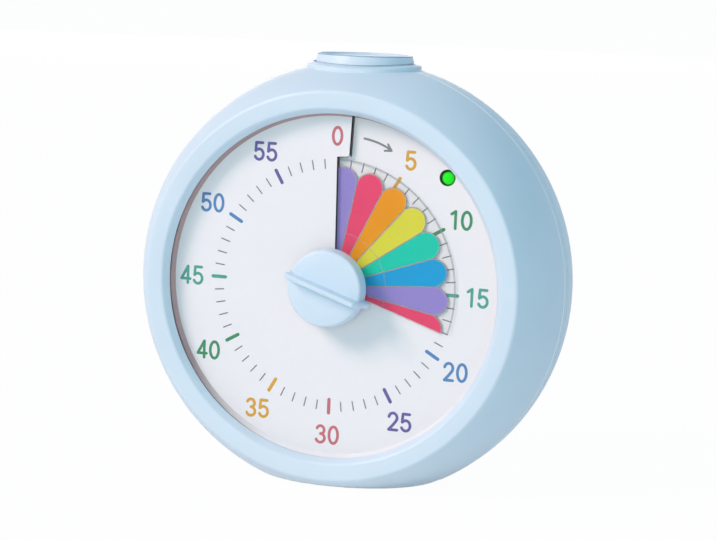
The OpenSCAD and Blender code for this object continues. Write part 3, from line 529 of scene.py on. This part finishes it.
def about_button(r, deg, z):
    x, y = polar(r, deg)
    return Vector((x * MM, y * MM, z * MM))


# --------------------------------------------------------------------------------- housing


def side_r(w):
    """Outer radius of the drum at a depth."""
    return ARC_X + sqrt(SIDE_ARC_R**2 - w**2)


def shell_outside():
    """Outline (radius, depth) of the front shell from the seam round the front edge."""
    round_w = FRONT_W - EDGE_R
    round_x = ARC_X + sqrt((SIDE_ARC_R - EDGE_R) ** 2 - round_w**2)
    lean = degrees(atan2(round_w, round_x - ARC_X))
    last = SIDE_ARC_R * sin(radians(lean))
    seam_r = side_r(SEAM)
    outside = [(seam_r - SEAM_ROUND, SEAM),
               (seam_r - 0.3 * SEAM_ROUND, SEAM + 0.25 * SEAM_ROUND),
               (seam_r, SEAM + SEAM_ROUND)]
    for i in range(1, SHELL_STEPS + 1):
        w = SEAM + (last - SEAM) * i / SHELL_STEPS
        outside.append((side_r(w), w))
    return outside + arc(round_x, round_w, EDGE_R, lean, 90, 8)[1:]


def shell_inside():
    """Outline of the front shell's inside, from the lip's seat back to the seam."""
    inside = []
    for i in range(SHELL_STEPS + 1):
        w = SEAM + (FRONT_W - WALL - SEAM) * (1 - i / SHELL_STEPS)
        inside.append((ARC_X + sqrt((SIDE_ARC_R - WALL) ** 2 - w**2), w))
    inside[0] = (inside[0][0], LIP_SEAT_W)
    return inside


def soften(value, limit, blend):
    """The larger of value and limit, with a rounded change between them."""
    gap = (value - limit) / blend
    if gap > 1:
        return value
    if gap < -1:
        return limit
    return limit + blend * (gap + 1) ** 2 / 4


def flatten_foot(point, outer):
    floor = FOOT_Z if outer else FOOT_Z + WALL
    z = soften(point.z / MM, floor, FOOT_BLEND)
    return Vector((point.x, point.y, z * MM))


def build_front_shell():
    """The shell, turned about the dial's axis, flat underneath and cut for the button."""
    lip = rounded(
        [(RIM_OPENING_R + 2.5, FRONT_W), (RIM_OPENING_R, FRONT_W),
         (WINDOW_R, LIP_SEAT_W), (WINDOW_R + 2, LIP_SEAT_W)],
        [0, 0.9, 0.25, 0], steps=7)
    outer = shell_outside() + lip
    outline = outer + shell_inside()
    verts, faces = lathe(outline, about_dial, segments=360)
    flat = [flatten_foot(v, i % len(outline) < len(outer)) for i, v in enumerate(verts)]
    shell = make_piece("front_shell", flat, faces, "housing", "case",
                       stands_for=("front_housing",))
    low, high = BUTTON_HOLE_Z
    hole = [(0, low), (BUTTON_HOLE_R, low), (BUTTON_HOLE_R, high), (0, high)]
    cut_with(shell, new_object("button_hole", *lathe(hole, about_button, segments=128)))


def cut_with(piece, tool):
    """Cuts the tool out of a piece's mesh and removes the tool."""
    modifier = piece.modifiers.new("cut", "BOOLEAN")
    modifier.operation = "DIFFERENCE"
    modifier.solver = "EXACT"
    modifier.object = tool
    graph = bpy.context.evaluated_depsgraph_get()
    result = bpy.data.meshes.new_from_object(piece.evaluated_get(graph))
    piece.modifiers.clear()
    old = piece.data
    piece.data = result
    bpy.data.meshes.remove(old)
    bpy.data.objects.remove(tool)
    shade(piece.data)


def about_collar(r, deg, rise):
    """A place about the button's axis, at a height over the collar's top, which follows
    the drum."""
    x, y = polar(r, deg)
    drum_r = ARC_X + sqrt((SIDE_ARC_R + COLLAR_RISE) ** 2 - y**2)
    return Vector((x * MM, y * MM, (DIAL_H + sqrt(drum_r**2 - x**2) + rise) * MM))


def build_collar():
    """The front half of the raised ring round the button. The seam ends it on both sides."""
    outline = rounded(
        [(BUTTON_HOLE_R, -COLLAR_DEPTH), (COLLAR_R, -COLLAR_DEPTH), (COLLAR_R, 0),
         (BUTTON_HOLE_R, 0)],
        [0, 0, 0.3, 0.12], steps=6)
    gap = degrees(SEAM / COLLAR_R)
    verts, faces = lathe(outline, about_collar, 120, 90 + gap, 270 - gap)
    make_piece("collar_front", verts, faces, "housing", "case")


def build_seam_bead():
    """A fine bead beside the seam, from the collar down to the foot on both sides. Its lighter
    colour is a painted highlight.
    """
    low, high = BEAD_W - BEAD_HALF, BEAD_W + BEAD_HALF
    section = [(low, -BEAD_ROOT), (low, 0), (BEAD_W + 0.02, BEAD_RISE), (high, 0),
               (high, -BEAD_ROOT)]
    outline = [(side_r(w) + out, w) for w, out in section]
    for name, deg0 in BEAD_STARTS:
        verts, faces = lathe(outline, about_dial, 200, deg0, deg0 + BEAD_SPAN)
        make_piece(f"seam_bead_{name}", verts, faces, "seam", "case")


def build_housing():
    build_front_shell()
    build_collar()
    build_seam_bead()


# ------------------------------------------------------------------------------ dial print

# Neighbouring strokes differ by this much in height, so that no two faces share a plane
STROKE_STEP = 0.0008


def flat_print(name, outlines, lift_of, material, body, lift=0.02, depth=0.04):
    """Thin solids of ink: each outline is a ring of (x, y) points, in order, which is star
    shaped or convex enough to be one face. lift_of gives the depth of the face under it."""
    verts, faces = [], []
    for level, outline in enumerate(outlines):
        start = len(verts)
        count = len(outline)
        top = lift + STROKE_STEP * (level % 5)
        verts += [place(x, y, lift_of(x, y) + top) for x, y in outline]
        verts += [place(x, y, lift_of(x, y) - depth) for x, y in outline]
        faces += tube_faces(start, 1, count)
    return make_piece(name, verts, faces, material, body, smooth=False)


def stroke(points, width, closed=False):
    """The left side, the right side and the quads of a pen stroke of even width."""
    half = width / 2
    pts = [Vector(p) for p in points]
    count = len(pts)
    left, right = [], []
    for i in range(count):
        before = pts[i - 1] if (i > 0 or closed) else pts[i]
        after = pts[(i + 1) % count] if (i < count - 1 or closed) else pts[i]
        along = (after - before).normalized()
        side = Vector((-along.y, along.x)) * half
        left.append(pts[i] + side)
        right.append(pts[i] - side)
    quads = []
    for i in range(count if closed else count - 1):
        j = (i + 1) % count
        quads.append([left[i], left[j], right[j], right[i]])
    return left, right, quads


def stroke_ring(points, width, cap_steps=7):
    """One outline round an open stroke, with half-round caps."""
    left, right, _ = stroke(points, width)
    half = width / 2
    pts = [Vector(p) for p in points]

    def cap(centre, direction):
        base = atan2(direction.y, direction.x)
        return [centre + half * Vector((cos(base + pi / 2 - pi * k / cap_steps),
                                        sin(base + pi / 2 - pi * k / cap_steps)))
                for k in range(1, cap_steps)]

    end_cap = cap(pts[-1], (pts[-1] - pts[-2]).normalized())
    start_cap = cap(pts[0], (pts[0] - pts[1]).normalized())
    return left + end_cap + right[::-1] + start_cap


# Strokes of the figures, in a box 1 high and 0.58 wide, from the middle of a pen stroke.
FIGURES = {
    "0": [ellipse(0.29, 0.5, 0.29, 0.5, 90, 450, 40)],
    "1": [[(0.02, 0.83), (0.12, 0.90), (0.26, 1.0)], [(0.26, 1.0), (0.26, 0.5), (0.26, 0.0)]],
    "2": [ellipse(0.28, 0.72, 0.27, 0.28, 170, -30, 22)
          + [(0.46, 0.50), (0.30, 0.30), (0.02, 0.0)],
          [(0.02, 0.0), (0.3, 0.0), (0.57, 0.0)]],
    "3": [ellipse(0.27, 0.755, 0.25, 0.245, 160, -88, 22),
          ellipse(0.27, 0.265, 0.29, 0.265, 88, -160, 24)],
    "4": [[(0.44, 0.0), (0.44, 0.5), (0.44, 1.0)],
          [(0.44, 1.0), (0.22, 0.62), (0.0, 0.25)], [(0.0, 0.25), (0.3, 0.25), (0.6, 0.25)]],
    "5": [[(0.52, 1.0), (0.30, 1.0), (0.08, 1.0)], [(0.08, 1.0), (0.06, 0.75), (0.045, 0.51)],
          ellipse(0.28, 0.31, 0.29, 0.31, 138, -155, 26)],
}
FIGURE_H = 3.98
FIGURE_PEN = 0.68
FIGURE_SQUEEZE = 0.93
# Width and following gap of a figure, as shares of its height. A one stands apart.
FIGURE_W, FIGURE_GAP = 0.54, 0.26
ONE_W, ONE_GAP = 0.27, 0.4


def figure_outlines(text, cx, cy):
    """Pen strokes of a number centred on (cx, cy)."""
    widths = [(ONE_W if letter == "1" else FIGURE_W) * FIGURE_H for letter in text]
    gaps = [(ONE_GAP if letter == "1" else FIGURE_GAP) * FIGURE_H for letter in text[:-1]]
    gaps.append(0)
    x0 = cx - (sum(widths) + sum(gaps)) / 2
    outlines = []
    for letter, width, gap in zip(text, widths, gaps):
        squeeze = 1 if letter == "1" else FIGURE_SQUEEZE
        for line in FIGURES[letter]:
            pts = [(x0 + px * squeeze * FIGURE_H, cy + (py - 0.5) * FIGURE_H)
                   for px, py in line]
            if letter == "0":
                _, _, quads = stroke(pts[:-1], FIGURE_PEN, closed=True)
                outlines += quads
            else:
                outlines.append(stroke_ring(pts, FIGURE_PEN))
        x0 += width + gap
    return outlines


TICK_INK = ["pink", "amber", "green", "teal", "blue", "purple"]
# Radii of a tick's start, middle and end as shares of TICK_R, and its pen
FIVE_TICK, FIVE_TICK_PEN = (0.89, 0.94, 0.995), 0.82
MINUTE_TICK, MINUTE_TICK_PEN = (0.908, 0.94, 0.978), 0.27
NUMERAL_R = 35.6
NUMERAL_LEFT = 0.17
NUMERAL_LEFT_WITH_ONE = 0.45
NUMERAL_DROP = 0.13


def tick_outline(deg, shares, pen):
    return stroke_ring([polar(share * TICK_R, deg) for share in shares], pen)


def build_dial_print():
    for k in range(12):
        minute = 5 * k
        deg = 6 * minute
        cx, cy = polar(NUMERAL_R, deg)
        cx -= NUMERAL_LEFT_WITH_ONE if minute in (10, 15) else NUMERAL_LEFT
        cy -= NUMERAL_DROP * (1 + cos(radians(deg)))
        outlines = figure_outlines(str(minute), cx, cy)
        if k:
            outlines.append(tick_outline(deg, FIVE_TICK, FIVE_TICK_PEN))
        flat_print(f"print_{minute:02d}", outlines, dial_depth, "ink_" + TICK_INK[k % 6],
                   "case")
    ticks = [tick_outline(6 * minute, MINUTE_TICK, MINUTE_TICK_PEN)
             for minute in range(60) if minute % 5]
    flat_print("minute_ticks", ticks, dial_depth, "tick_ink", "case")
    build_arrow()
    build_slot_edge()
    build_dial_ring()


ARROW_TIP = (1.148 * TICK_R, 21.5)
ARROW_START_DEG, ARROW_SWEEP = 9.8, 11.7
ARROW_SHARE, ARROW_DROOP = 1.166, 0.018
ARROW_HEADING = -27.0
ARROW_PEN, BARB_PEN = 0.5, 0.48
BARB_POINTS = (0, 0.9, 1.7)
BARB_TURN = 150


def build_arrow():
    """The curved arrow that shows which way the dial is wound."""
    steps = 12
    tip = Vector(polar(*ARROW_TIP))
    shaft = [polar((ARROW_SHARE - ARROW_DROOP * (i / steps) ** 3) * TICK_R,
                   ARROW_START_DEG + ARROW_SWEEP * i / steps)
             for i in range(steps + 1)]
    outlines = [stroke_ring(shaft, ARROW_PEN)]
    for turn in (BARB_TURN, -BARB_TURN):
        way = Vector(polar(1, 90 - ARROW_HEADING - turn))
        outlines.append(stroke_ring([tuple(tip + way * s) for s in BARB_POINTS], BARB_PEN))
    flat_print("turn_arrow", outlines, dial_depth, "grey_ink", "case")


def build_dial_ring():
    """The sloped inner face of the ring between window and dial. Its foot follows the dial,
    and it ends on both sides of the slot."""
    start = degrees(asin(SLOT_EDGE_X / RING_FOOT_R)) + 0.6
    sweep = 360 - 0.9
    steps = 360
    top_w = WINDOW_BACK_W - RING_GAP
    verts = []
    for i in range(steps + 1):
        deg = start + sweep * i / steps
        foot_w = dial_front_w(deg) + RING_GAP
        verts += [about_dial(RING_FOOT_R, deg, foot_w), about_dial(RING_TOP_R, deg, top_w),
                  about_dial(RING_TOP_R, deg, foot_w)]
    # painted shade: the frame material darkens this ring towards its upper left
    make_piece("dial_ring", verts, tube_faces(0, steps, 3), "frame", "case")


# Painted shade strip: how far it laps over the high end, stands back from the edge, rises and
# hangs into the gap
SLOT_SHADE_LAP = 0.13
SLOT_SHADE_BACK = 0.03
SLOT_SHADE_LIFT = 0.02
SLOT_SHADE_DEPTH = DIAL_T + 0.12


def build_slot_edge():
    """A near-black strip of painted shade over the cut edge of the dial's high end and down
    into the slot's gap, along the slot and round its jog.
    """
    outer = slot_point(SLOT_JOG_R + 0.35)
    path = [slot_point(DIAL_HOLE_R + 0.1), slot_point(SLOT_JOG_R),
            outer - Vector((0.55, 0.04)), outer - Vector((0.16, -0.1)),
            outer + Vector((0, 0.5)), slot_point(DIAL_R - 0.05)]
    verts = []
    for i, at in enumerate(path):
        ways = [(path[j + 1] - path[j]).normalized() for j in (i - 1, i)
                if 0 <= j < len(path) - 1]
        way = sum(ways, Vector((0, 0))).normalized()
        side = Vector((-way.y, way.x)) / max(0.6, way.dot(ways[0]))
        face_w = dial_front_w(360 + degrees(atan2(at.x, at.y)))
        top_w, low_w = face_w + SLOT_SHADE_LIFT, face_w - SLOT_SHADE_DEPTH
        for across, w in ((SLOT_SHADE_LAP, top_w), (-SLOT_SHADE_BACK, top_w),
                          (-SLOT_SHADE_BACK, low_w), (SLOT_SHADE_LAP, low_w)):
            spot = at + side * across
            verts.append(place(spot.x, spot.y, w))
    # painted shade: the dark strip stands for the shadowed slot
    make_piece("slot_shade_strip", verts, tube_faces(0, len(path) - 1, 4), "slot_shade_strip", "case",
               smooth=False)


# ------------------------------------------------------------------------------------ film

PETAL_COUNT = 24
PETAL_PITCH = 15.0
PETAL_GAP = 0.02
PETAL_TIP_R = 0.925 * TICK_R
PETAL_FOOT_R = 5.2
PETAL_STEPS = 12
PETAL_EDGE = 0.28
PETAL_ORDER = ["pink", "purple", "blue", "teal", "yellow", "orange"]
FILM_LINE_RADII = (12.9, FILM_R - 0.3, FILM_R - 0.07)
FILM_LINE_SWEEP = 356
FILM_LINE_SECTION = ((-0.05, 0.01), (0.05, 0.01), (0.05, 0.07), (-0.05, 0.07))


def petal_outline(mid_deg, lead_half, trail_half):
    """A petal from near the hub to a round tip. Each half width is in degrees, and the
    first petal has none on its leading side."""
    tip_w = radians(PETAL_PITCH / 2) * (PETAL_TIP_R * 0.9)
    centre_r = PETAL_TIP_R - tip_w
    sides = []
    for side, half in ((-1, trail_half), (1, lead_half)):
        line = []
        for i in range(PETAL_STEPS + 1):
            r = PETAL_FOOT_R + (centre_r - PETAL_FOOT_R) * i / PETAL_STEPS
            line.append((r, side * half))
        if half > 0:
            for k in range(1, PETAL_STEPS + 1):
                a = radians(90 * k / PETAL_STEPS)
                r = centre_r + tip_w * sin(a)
                across = tip_w * cos(a)
                line.append((r, side * degrees(across / r) * half / (PETAL_PITCH / 2)))
        else:
            line.append((PETAL_TIP_R, 0.0))
        sides.append(line)
    out = []
    for r, off in sides[0] + sides[1][::-1]:
        p = polar(r, mid_deg + off)
        if not out or (Vector(p) - Vector(out[-1])).length > 1e-4:
            out.append(p)
    return out


def build_petals():
    """The petals and their pale edges. The later ones wait under the dial."""
    half = PETAL_PITCH / 2 - PETAL_GAP
    for k in range(PETAL_COUNT):
        mid = LEAD_DEG - PETAL_PITCH * k

        def depth(x, y, middle=mid):
            deg = degrees(atan2(x, y))
            while deg < middle - 180:
                deg += 360
            while deg > middle + 180:
                deg -= 360
            return film_front_w(deg)

        outline = petal_outline(mid, half if k else 0.0, half)
        flat_print(f"petal_{k:02d}", [outline], depth, "petal_" + PETAL_ORDER[k % 6], "film",
                   lift=0.035, depth=-0.01)
        free = [i for i, p in enumerate(outline) if hypot(*p) > PETAL_FOOT_R + 0.01]
        _, _, quads = stroke(outline[free[0]:free[-1] + 1], PETAL_EDGE)
        flat_print(f"petal_edge_{k:02d}", quads, depth, "petal_edge", "film",
                   lift=0.05, depth=-0.045)


def build_film_rim():
    """Fine pale grey, partly see-through lines that run along the film's outer edge and round
    its hub.
    """
    steps = 240
    sides = len(FILM_LINE_SECTION)
    verts, faces = [], []
    for r in FILM_LINE_RADII:
        faces += tube_faces(len(verts), steps, sides)
        for i in range(steps + 1):
            deg = LEAD_DEG - 1 - FILM_LINE_SWEEP * i / steps
            w = film_front_w(deg)
            verts += [about_dial(r + across, deg, w + rise)
                      for across, rise in FILM_LINE_SECTION]
    make_piece("film_rim", verts, faces, "film_rim", "film", smooth=False)


# -------------------------------------------------------------------------- knob and button


def build_knob():
    neck_w = node_rear("knob")
    outline = rounded(
        [(0, neck_w), (KNOB_NECK_R, neck_w), (KNOB_NECK_R, KNOB_BASE_W),
         (KNOB_R, KNOB_BASE_W), (KNOB_R, KNOB_BASE_W + 0.55),
         (KNOB_FACE_R + 0.25, KNOB_FACE_W - 0.25), (KNOB_FACE_R - 2.5, KNOB_FACE_W + 0.05),
         (0, KNOB_FACE_W + 0.2)],
        [0, 0.2, 0.3, 0.15, 0.25, 0.75, 4.0, 0], steps=6)
    verts, faces = lathe(outline, about_dial, segments=128)
    make_piece("knob_body", verts, faces, "knob", "knob",
               stands_for=("knob",))
    build_fin()


# Layers through the fin: share of half its thickness, and how far the outline draws in
FIN_LAYERS = ((-1, 0.30), (-0.8, 0.08), (-0.4, 0.0), (0.4, 0.0), (0.8, 0.08), (1, 0.30))


def build_fin():
    """The grip fin across the knob, and the pointer at one end of it."""
    along = Vector(polar(1, LEAD_DEG))
    across = Vector((along.y, -along.x))
    profile = rounded(
        [(-FIN_TAIL_R, FIN_FOOT_W), (POINTER_R, FIN_FOOT_W),
         (POINTER_R, KNOB_BASE_W + 1.3), (KNOB_R + 0.2, FIN_TOP_W - 1.0),
         (KNOB_R - 0.6, FIN_TOP_W), (0.6 - KNOB_R, FIN_TOP_W),
         (-FIN_TAIL_R, FIN_TOP_W - 1.0)],
        [0.2, 0.5, 0.5, 0.8, 0.8, 0.8, 0.8], steps=5)
    mid_w = (KNOB_BASE_W + FIN_TOP_W) / 2
    verts = []
    for share, inset in FIN_LAYERS:
        for s, w in profile:
            reach = max(0.0, 1 - inset / max(1.0, abs(s)))
            rise = max(0.0, 1 - inset / max(1.0, abs(w - mid_w)))
            at = along * (s * reach) + across * (share * FIN_T / 2)
            verts.append(place(at.x, at.y, mid_w + (w - mid_w) * rise))
    faces = tube_faces(0, len(FIN_LAYERS) - 1, len(profile))
    make_piece("knob_fin", verts, faces, "knob", "knob")


def about_button_side(r, deg, z):
    """A place on the button whose foot rises and falls with the collar round it."""
    share = min(1.0, max(0.0, (BUTTON_TOP_Z - 0.7 - z) / 0.8))
    foot = about_collar(BUTTON_R, deg, 0).z / MM - COLLAR_Z
    return about_button(r, deg, z + foot * share * min(1.0, r / BUTTON_R))


def build_button():
    """The button: its side leans in to a thin raised rim round a shallow dish, and a groove
    runs round its foot. A darker band over the rim is painted shade."""
    low = COLLAR_Z - 3.0
    foot_r = BUTTON_R - 0.2
    rim_z = BUTTON_TOP_Z - 0.03
    dish_r = BUTTON_TOP_R - 0.55
    dish_z = BUTTON_TOP_Z - 0.6
    outline = rounded(
        [(0, low), (foot_r, low), (foot_r, COLLAR_Z + 0.08),
         (BUTTON_R - 0.03, COLLAR_Z + 0.2), (BUTTON_TOP_R, rim_z),
         (dish_r, rim_z), (dish_r - 0.3, dish_z), (0, dish_z)],
        [0, 0.2, 0, 0.05, 0.22, 0.16, 0.3, 0], steps=6)
    verts, faces = lathe(outline, about_button_side)
    make_piece("button_cap", verts, faces, "button", "button",
               stands_for=("top_button",))
    # painted shade: a darker band laid over the rim's edge
    shade_band = rounded([(dish_r - 0.03, rim_z - 0.28), (BUTTON_TOP_R + 0.08, rim_z - 0.26),
                    (BUTTON_TOP_R + 0.015, rim_z + 0.02), (dish_r - 0.02, rim_z + 0.02)],
                   [0, 0, 0.2, 0.14], steps=5)
    verts, faces = lathe(shade_band, about_button)
    make_piece("button_rim_shade", verts, faces, "button_rim_shade", "button")


def build_lamp():
    """The lamp's dome, which leans a little in its hole, and the dark cup round it."""
    face_w = dial_front_w(LAMP_DEG)
    rear_w = face_w - LAMP_LENGTH
    dome = [(0, rear_w), (LAMP_R, rear_w)]
    dome += arc(0, face_w - LAMP_CENTRE_SINK, LAMP_R, 0, 90, 9)
    floor_w = face_w - CUP_FLOOR_SINK
    cup = [(CUP_FLOOR_R, face_w - CUP_REAR_SINK),
           (LAMP_HOLE_R - 0.02, face_w - CUP_REAR_SINK),
           (LAMP_HOLE_R - 0.02, face_w - CUP_TOP_SINK),
           (LAMP_HOLE_R - 0.1, face_w - CUP_TOP_SINK),
           (LAMP_HOLE_R - 0.12, floor_w), (CUP_FLOOR_R, floor_w)]
    hole = Vector((LAMP_X, 0, LAMP_Y)) * MM
    lean = Vector((LAMP_LEAN_X, 0, LAMP_LEAN_Y)) * MM
    verts, faces = lathe(dome, about_dial, segments=64)
    make_piece("lamp_dome", [v + hole + lean for v in verts], faces, "lamp", "case",
               stands_for=("lamp",))
    verts, faces = lathe(cup, about_dial, segments=64)
    make_piece("lamp_cup", [v + hole for v in verts], faces, "lamp_cup", "case")


# ------------------------------------------------------------------- stage, lights, camera

# The camera looks along its azimuth and elevation at the middle of the dial, from a
# distance, and is then shifted to the right and up.
CAMERA_AZIMUTH = 18.408
CAMERA_ELEVATION = 7.252
CAMERA_ROLL = 2.286
CAMERA_DISTANCE = 577.1
CAMERA_RIGHT = 5.791
CAMERA_UP = 3.713
FOCAL_MM = 123.45
SENSOR_MM = 36
DIAL_PLANE_W = 16.8

SKY_COLOUR = (0.43, 0.78, 1.0, 1)
SKY_STRENGTH = 0.52
WHITE = (1, 1, 1, 1)
FLOOR_COLOUR = (0.93, 0.93, 0.93, 1)
FLOOR_SIZE = 16.0
FLOOR_KEEP = 0.97
LIGHT_AIM = (0, 0, 0.05)
LIGHT_SIZE = 1.1
# Name, place in metres, power in watts and colour of each light
LIGHTS = (
    ("key", (-1.74, -1.74, 1.77), 58.0, (1.0, 0.7, 0.61)),
    ("fill", (0.76, -2.85, 0.57), 16.0, (0.92, 1.0, 0.8)),
    ("back", (-1.1, 2.75, 0.3), 14.0, (1.0, 0.72, 0.6)),
)


def build_camera():
    az, el, roll = (radians(a) for a in (CAMERA_AZIMUTH, CAMERA_ELEVATION, CAMERA_ROLL))
    back = Vector((sin(az) * cos(el), -cos(az) * cos(el), sin(el)))
    level = Vector((cos(az), sin(az), 0))
    rise = back.cross(level)
    right = level * cos(roll) + rise * sin(roll)
    up = rise * cos(roll) - level * sin(roll)
    centre = place(0, 0, DIAL_PLANE_W)
    at = centre + (back * CAMERA_DISTANCE + right * CAMERA_RIGHT + up * CAMERA_UP) * MM
    data = bpy.data.cameras.new("camera")
    data.lens = FOCAL_MM
    data.sensor_width = SENSOR_MM
    data.clip_start = 0.01
    camera = bpy.data.objects.new("camera", data)
    bpy.context.scene.collection.objects.link(camera)
    turn = Matrix((right, up, back)).transposed().to_4x4()
    camera.matrix_world = Matrix.Translation(at) @ turn
    bpy.context.scene.camera = camera


def white_to_camera(tree, light_output, white_output, keep):
    """Mixes white into a surface or background, but only for camera, glossy and
    transmitted rays, so that it lights nothing."""
    path = tree.nodes.new("ShaderNodeLightPath")
    seen = path.outputs["Is Camera Ray"]
    for ray in ("Is Glossy Ray", "Is Transmission Ray"):
        either = tree.nodes.new("ShaderNodeMath")
        either.operation = "MAXIMUM"
        tree.links.new(seen, either.inputs[0])
        tree.links.new(path.outputs[ray], either.inputs[1])
        seen = either.outputs[0]
    share = tree.nodes.new("ShaderNodeMath")
    share.operation = "MULTIPLY"
    share.inputs[1].default_value = keep
    tree.links.new(seen, share.inputs[0])
    mix = tree.nodes.new("ShaderNodeMixShader")
    tree.links.new(share.outputs[0], mix.inputs[0])
    tree.links.new(light_output, mix.inputs[1])
    tree.links.new(white_output, mix.inputs[2])
    return mix.outputs[0]


def build_world():
    world = bpy.data.worlds.new("studio")
    bpy.context.scene.world = world
    world.use_nodes = True
    tree = world.node_tree
    soft = tree.nodes["Background"]
    soft.inputs["Color"].default_value = SKY_COLOUR
    soft.inputs["Strength"].default_value = SKY_STRENGTH
    white = tree.nodes.new("ShaderNodeBackground")
    white.inputs["Color"].default_value = WHITE
    white.inputs["Strength"].default_value = 1.0
    mixed = white_to_camera(tree, soft.outputs[0], white.outputs[0], 1.0)
    tree.links.new(mixed, tree.nodes["World Output"].inputs["Surface"])


def build_floor():
    size = FLOOR_SIZE
    mesh = bpy.data.meshes.new("floor")
    mesh.from_pydata([(-size, -size, 0), (size, -size, 0), (size, size, 0), (-size, size, 0)],
                     [], [(0, 1, 2, 3)])
    floor = bpy.data.objects.new("floor", mesh)
    bpy.context.scene.collection.objects.link(floor)
    material = bpy.data.materials.new("floor_white")
    material.use_nodes = True
    tree = material.node_tree
    shader = tree.nodes["Principled BSDF"]
    shader.inputs["Base Color"].default_value = FLOOR_COLOUR
    shader.inputs["Roughness"].default_value = 0.9
    glow = tree.nodes.new("ShaderNodeEmission")
    glow.inputs["Color"].default_value = WHITE
    glow.inputs["Strength"].default_value = 1.0
    mixed = white_to_camera(tree, shader.outputs[0], glow.outputs[0], FLOOR_KEEP)
    tree.links.new(mixed, tree.nodes["Material Output"].inputs["Surface"])
    mesh.materials.append(material)


def build_lights():
    """Round area lights that face the object."""
    for name, at, power, colour in LIGHTS:
        data = bpy.data.lights.new(name, "AREA")
        data.shape = "DISK"
        data.size = LIGHT_SIZE
        data.energy = power
        data.color = colour
        light = bpy.data.objects.new(name, data)
        bpy.context.scene.collection.objects.link(light)
        light.location = at
        away = Vector(at) - Vector(LIGHT_AIM)
        light.rotation_euler = away.to_track_quat("Z", "Y").to_euler()


# --------------------------------------------------------------------------------- make it

bpy.context.scene.view_settings.view_transform = "Standard"
build_camera()
build_world()
build_floor()
build_lights()
dress_nodes()
build_housing()
build_dial_print()
build_petals()
build_film_rim()
build_knob()
build_button()
build_lamp()
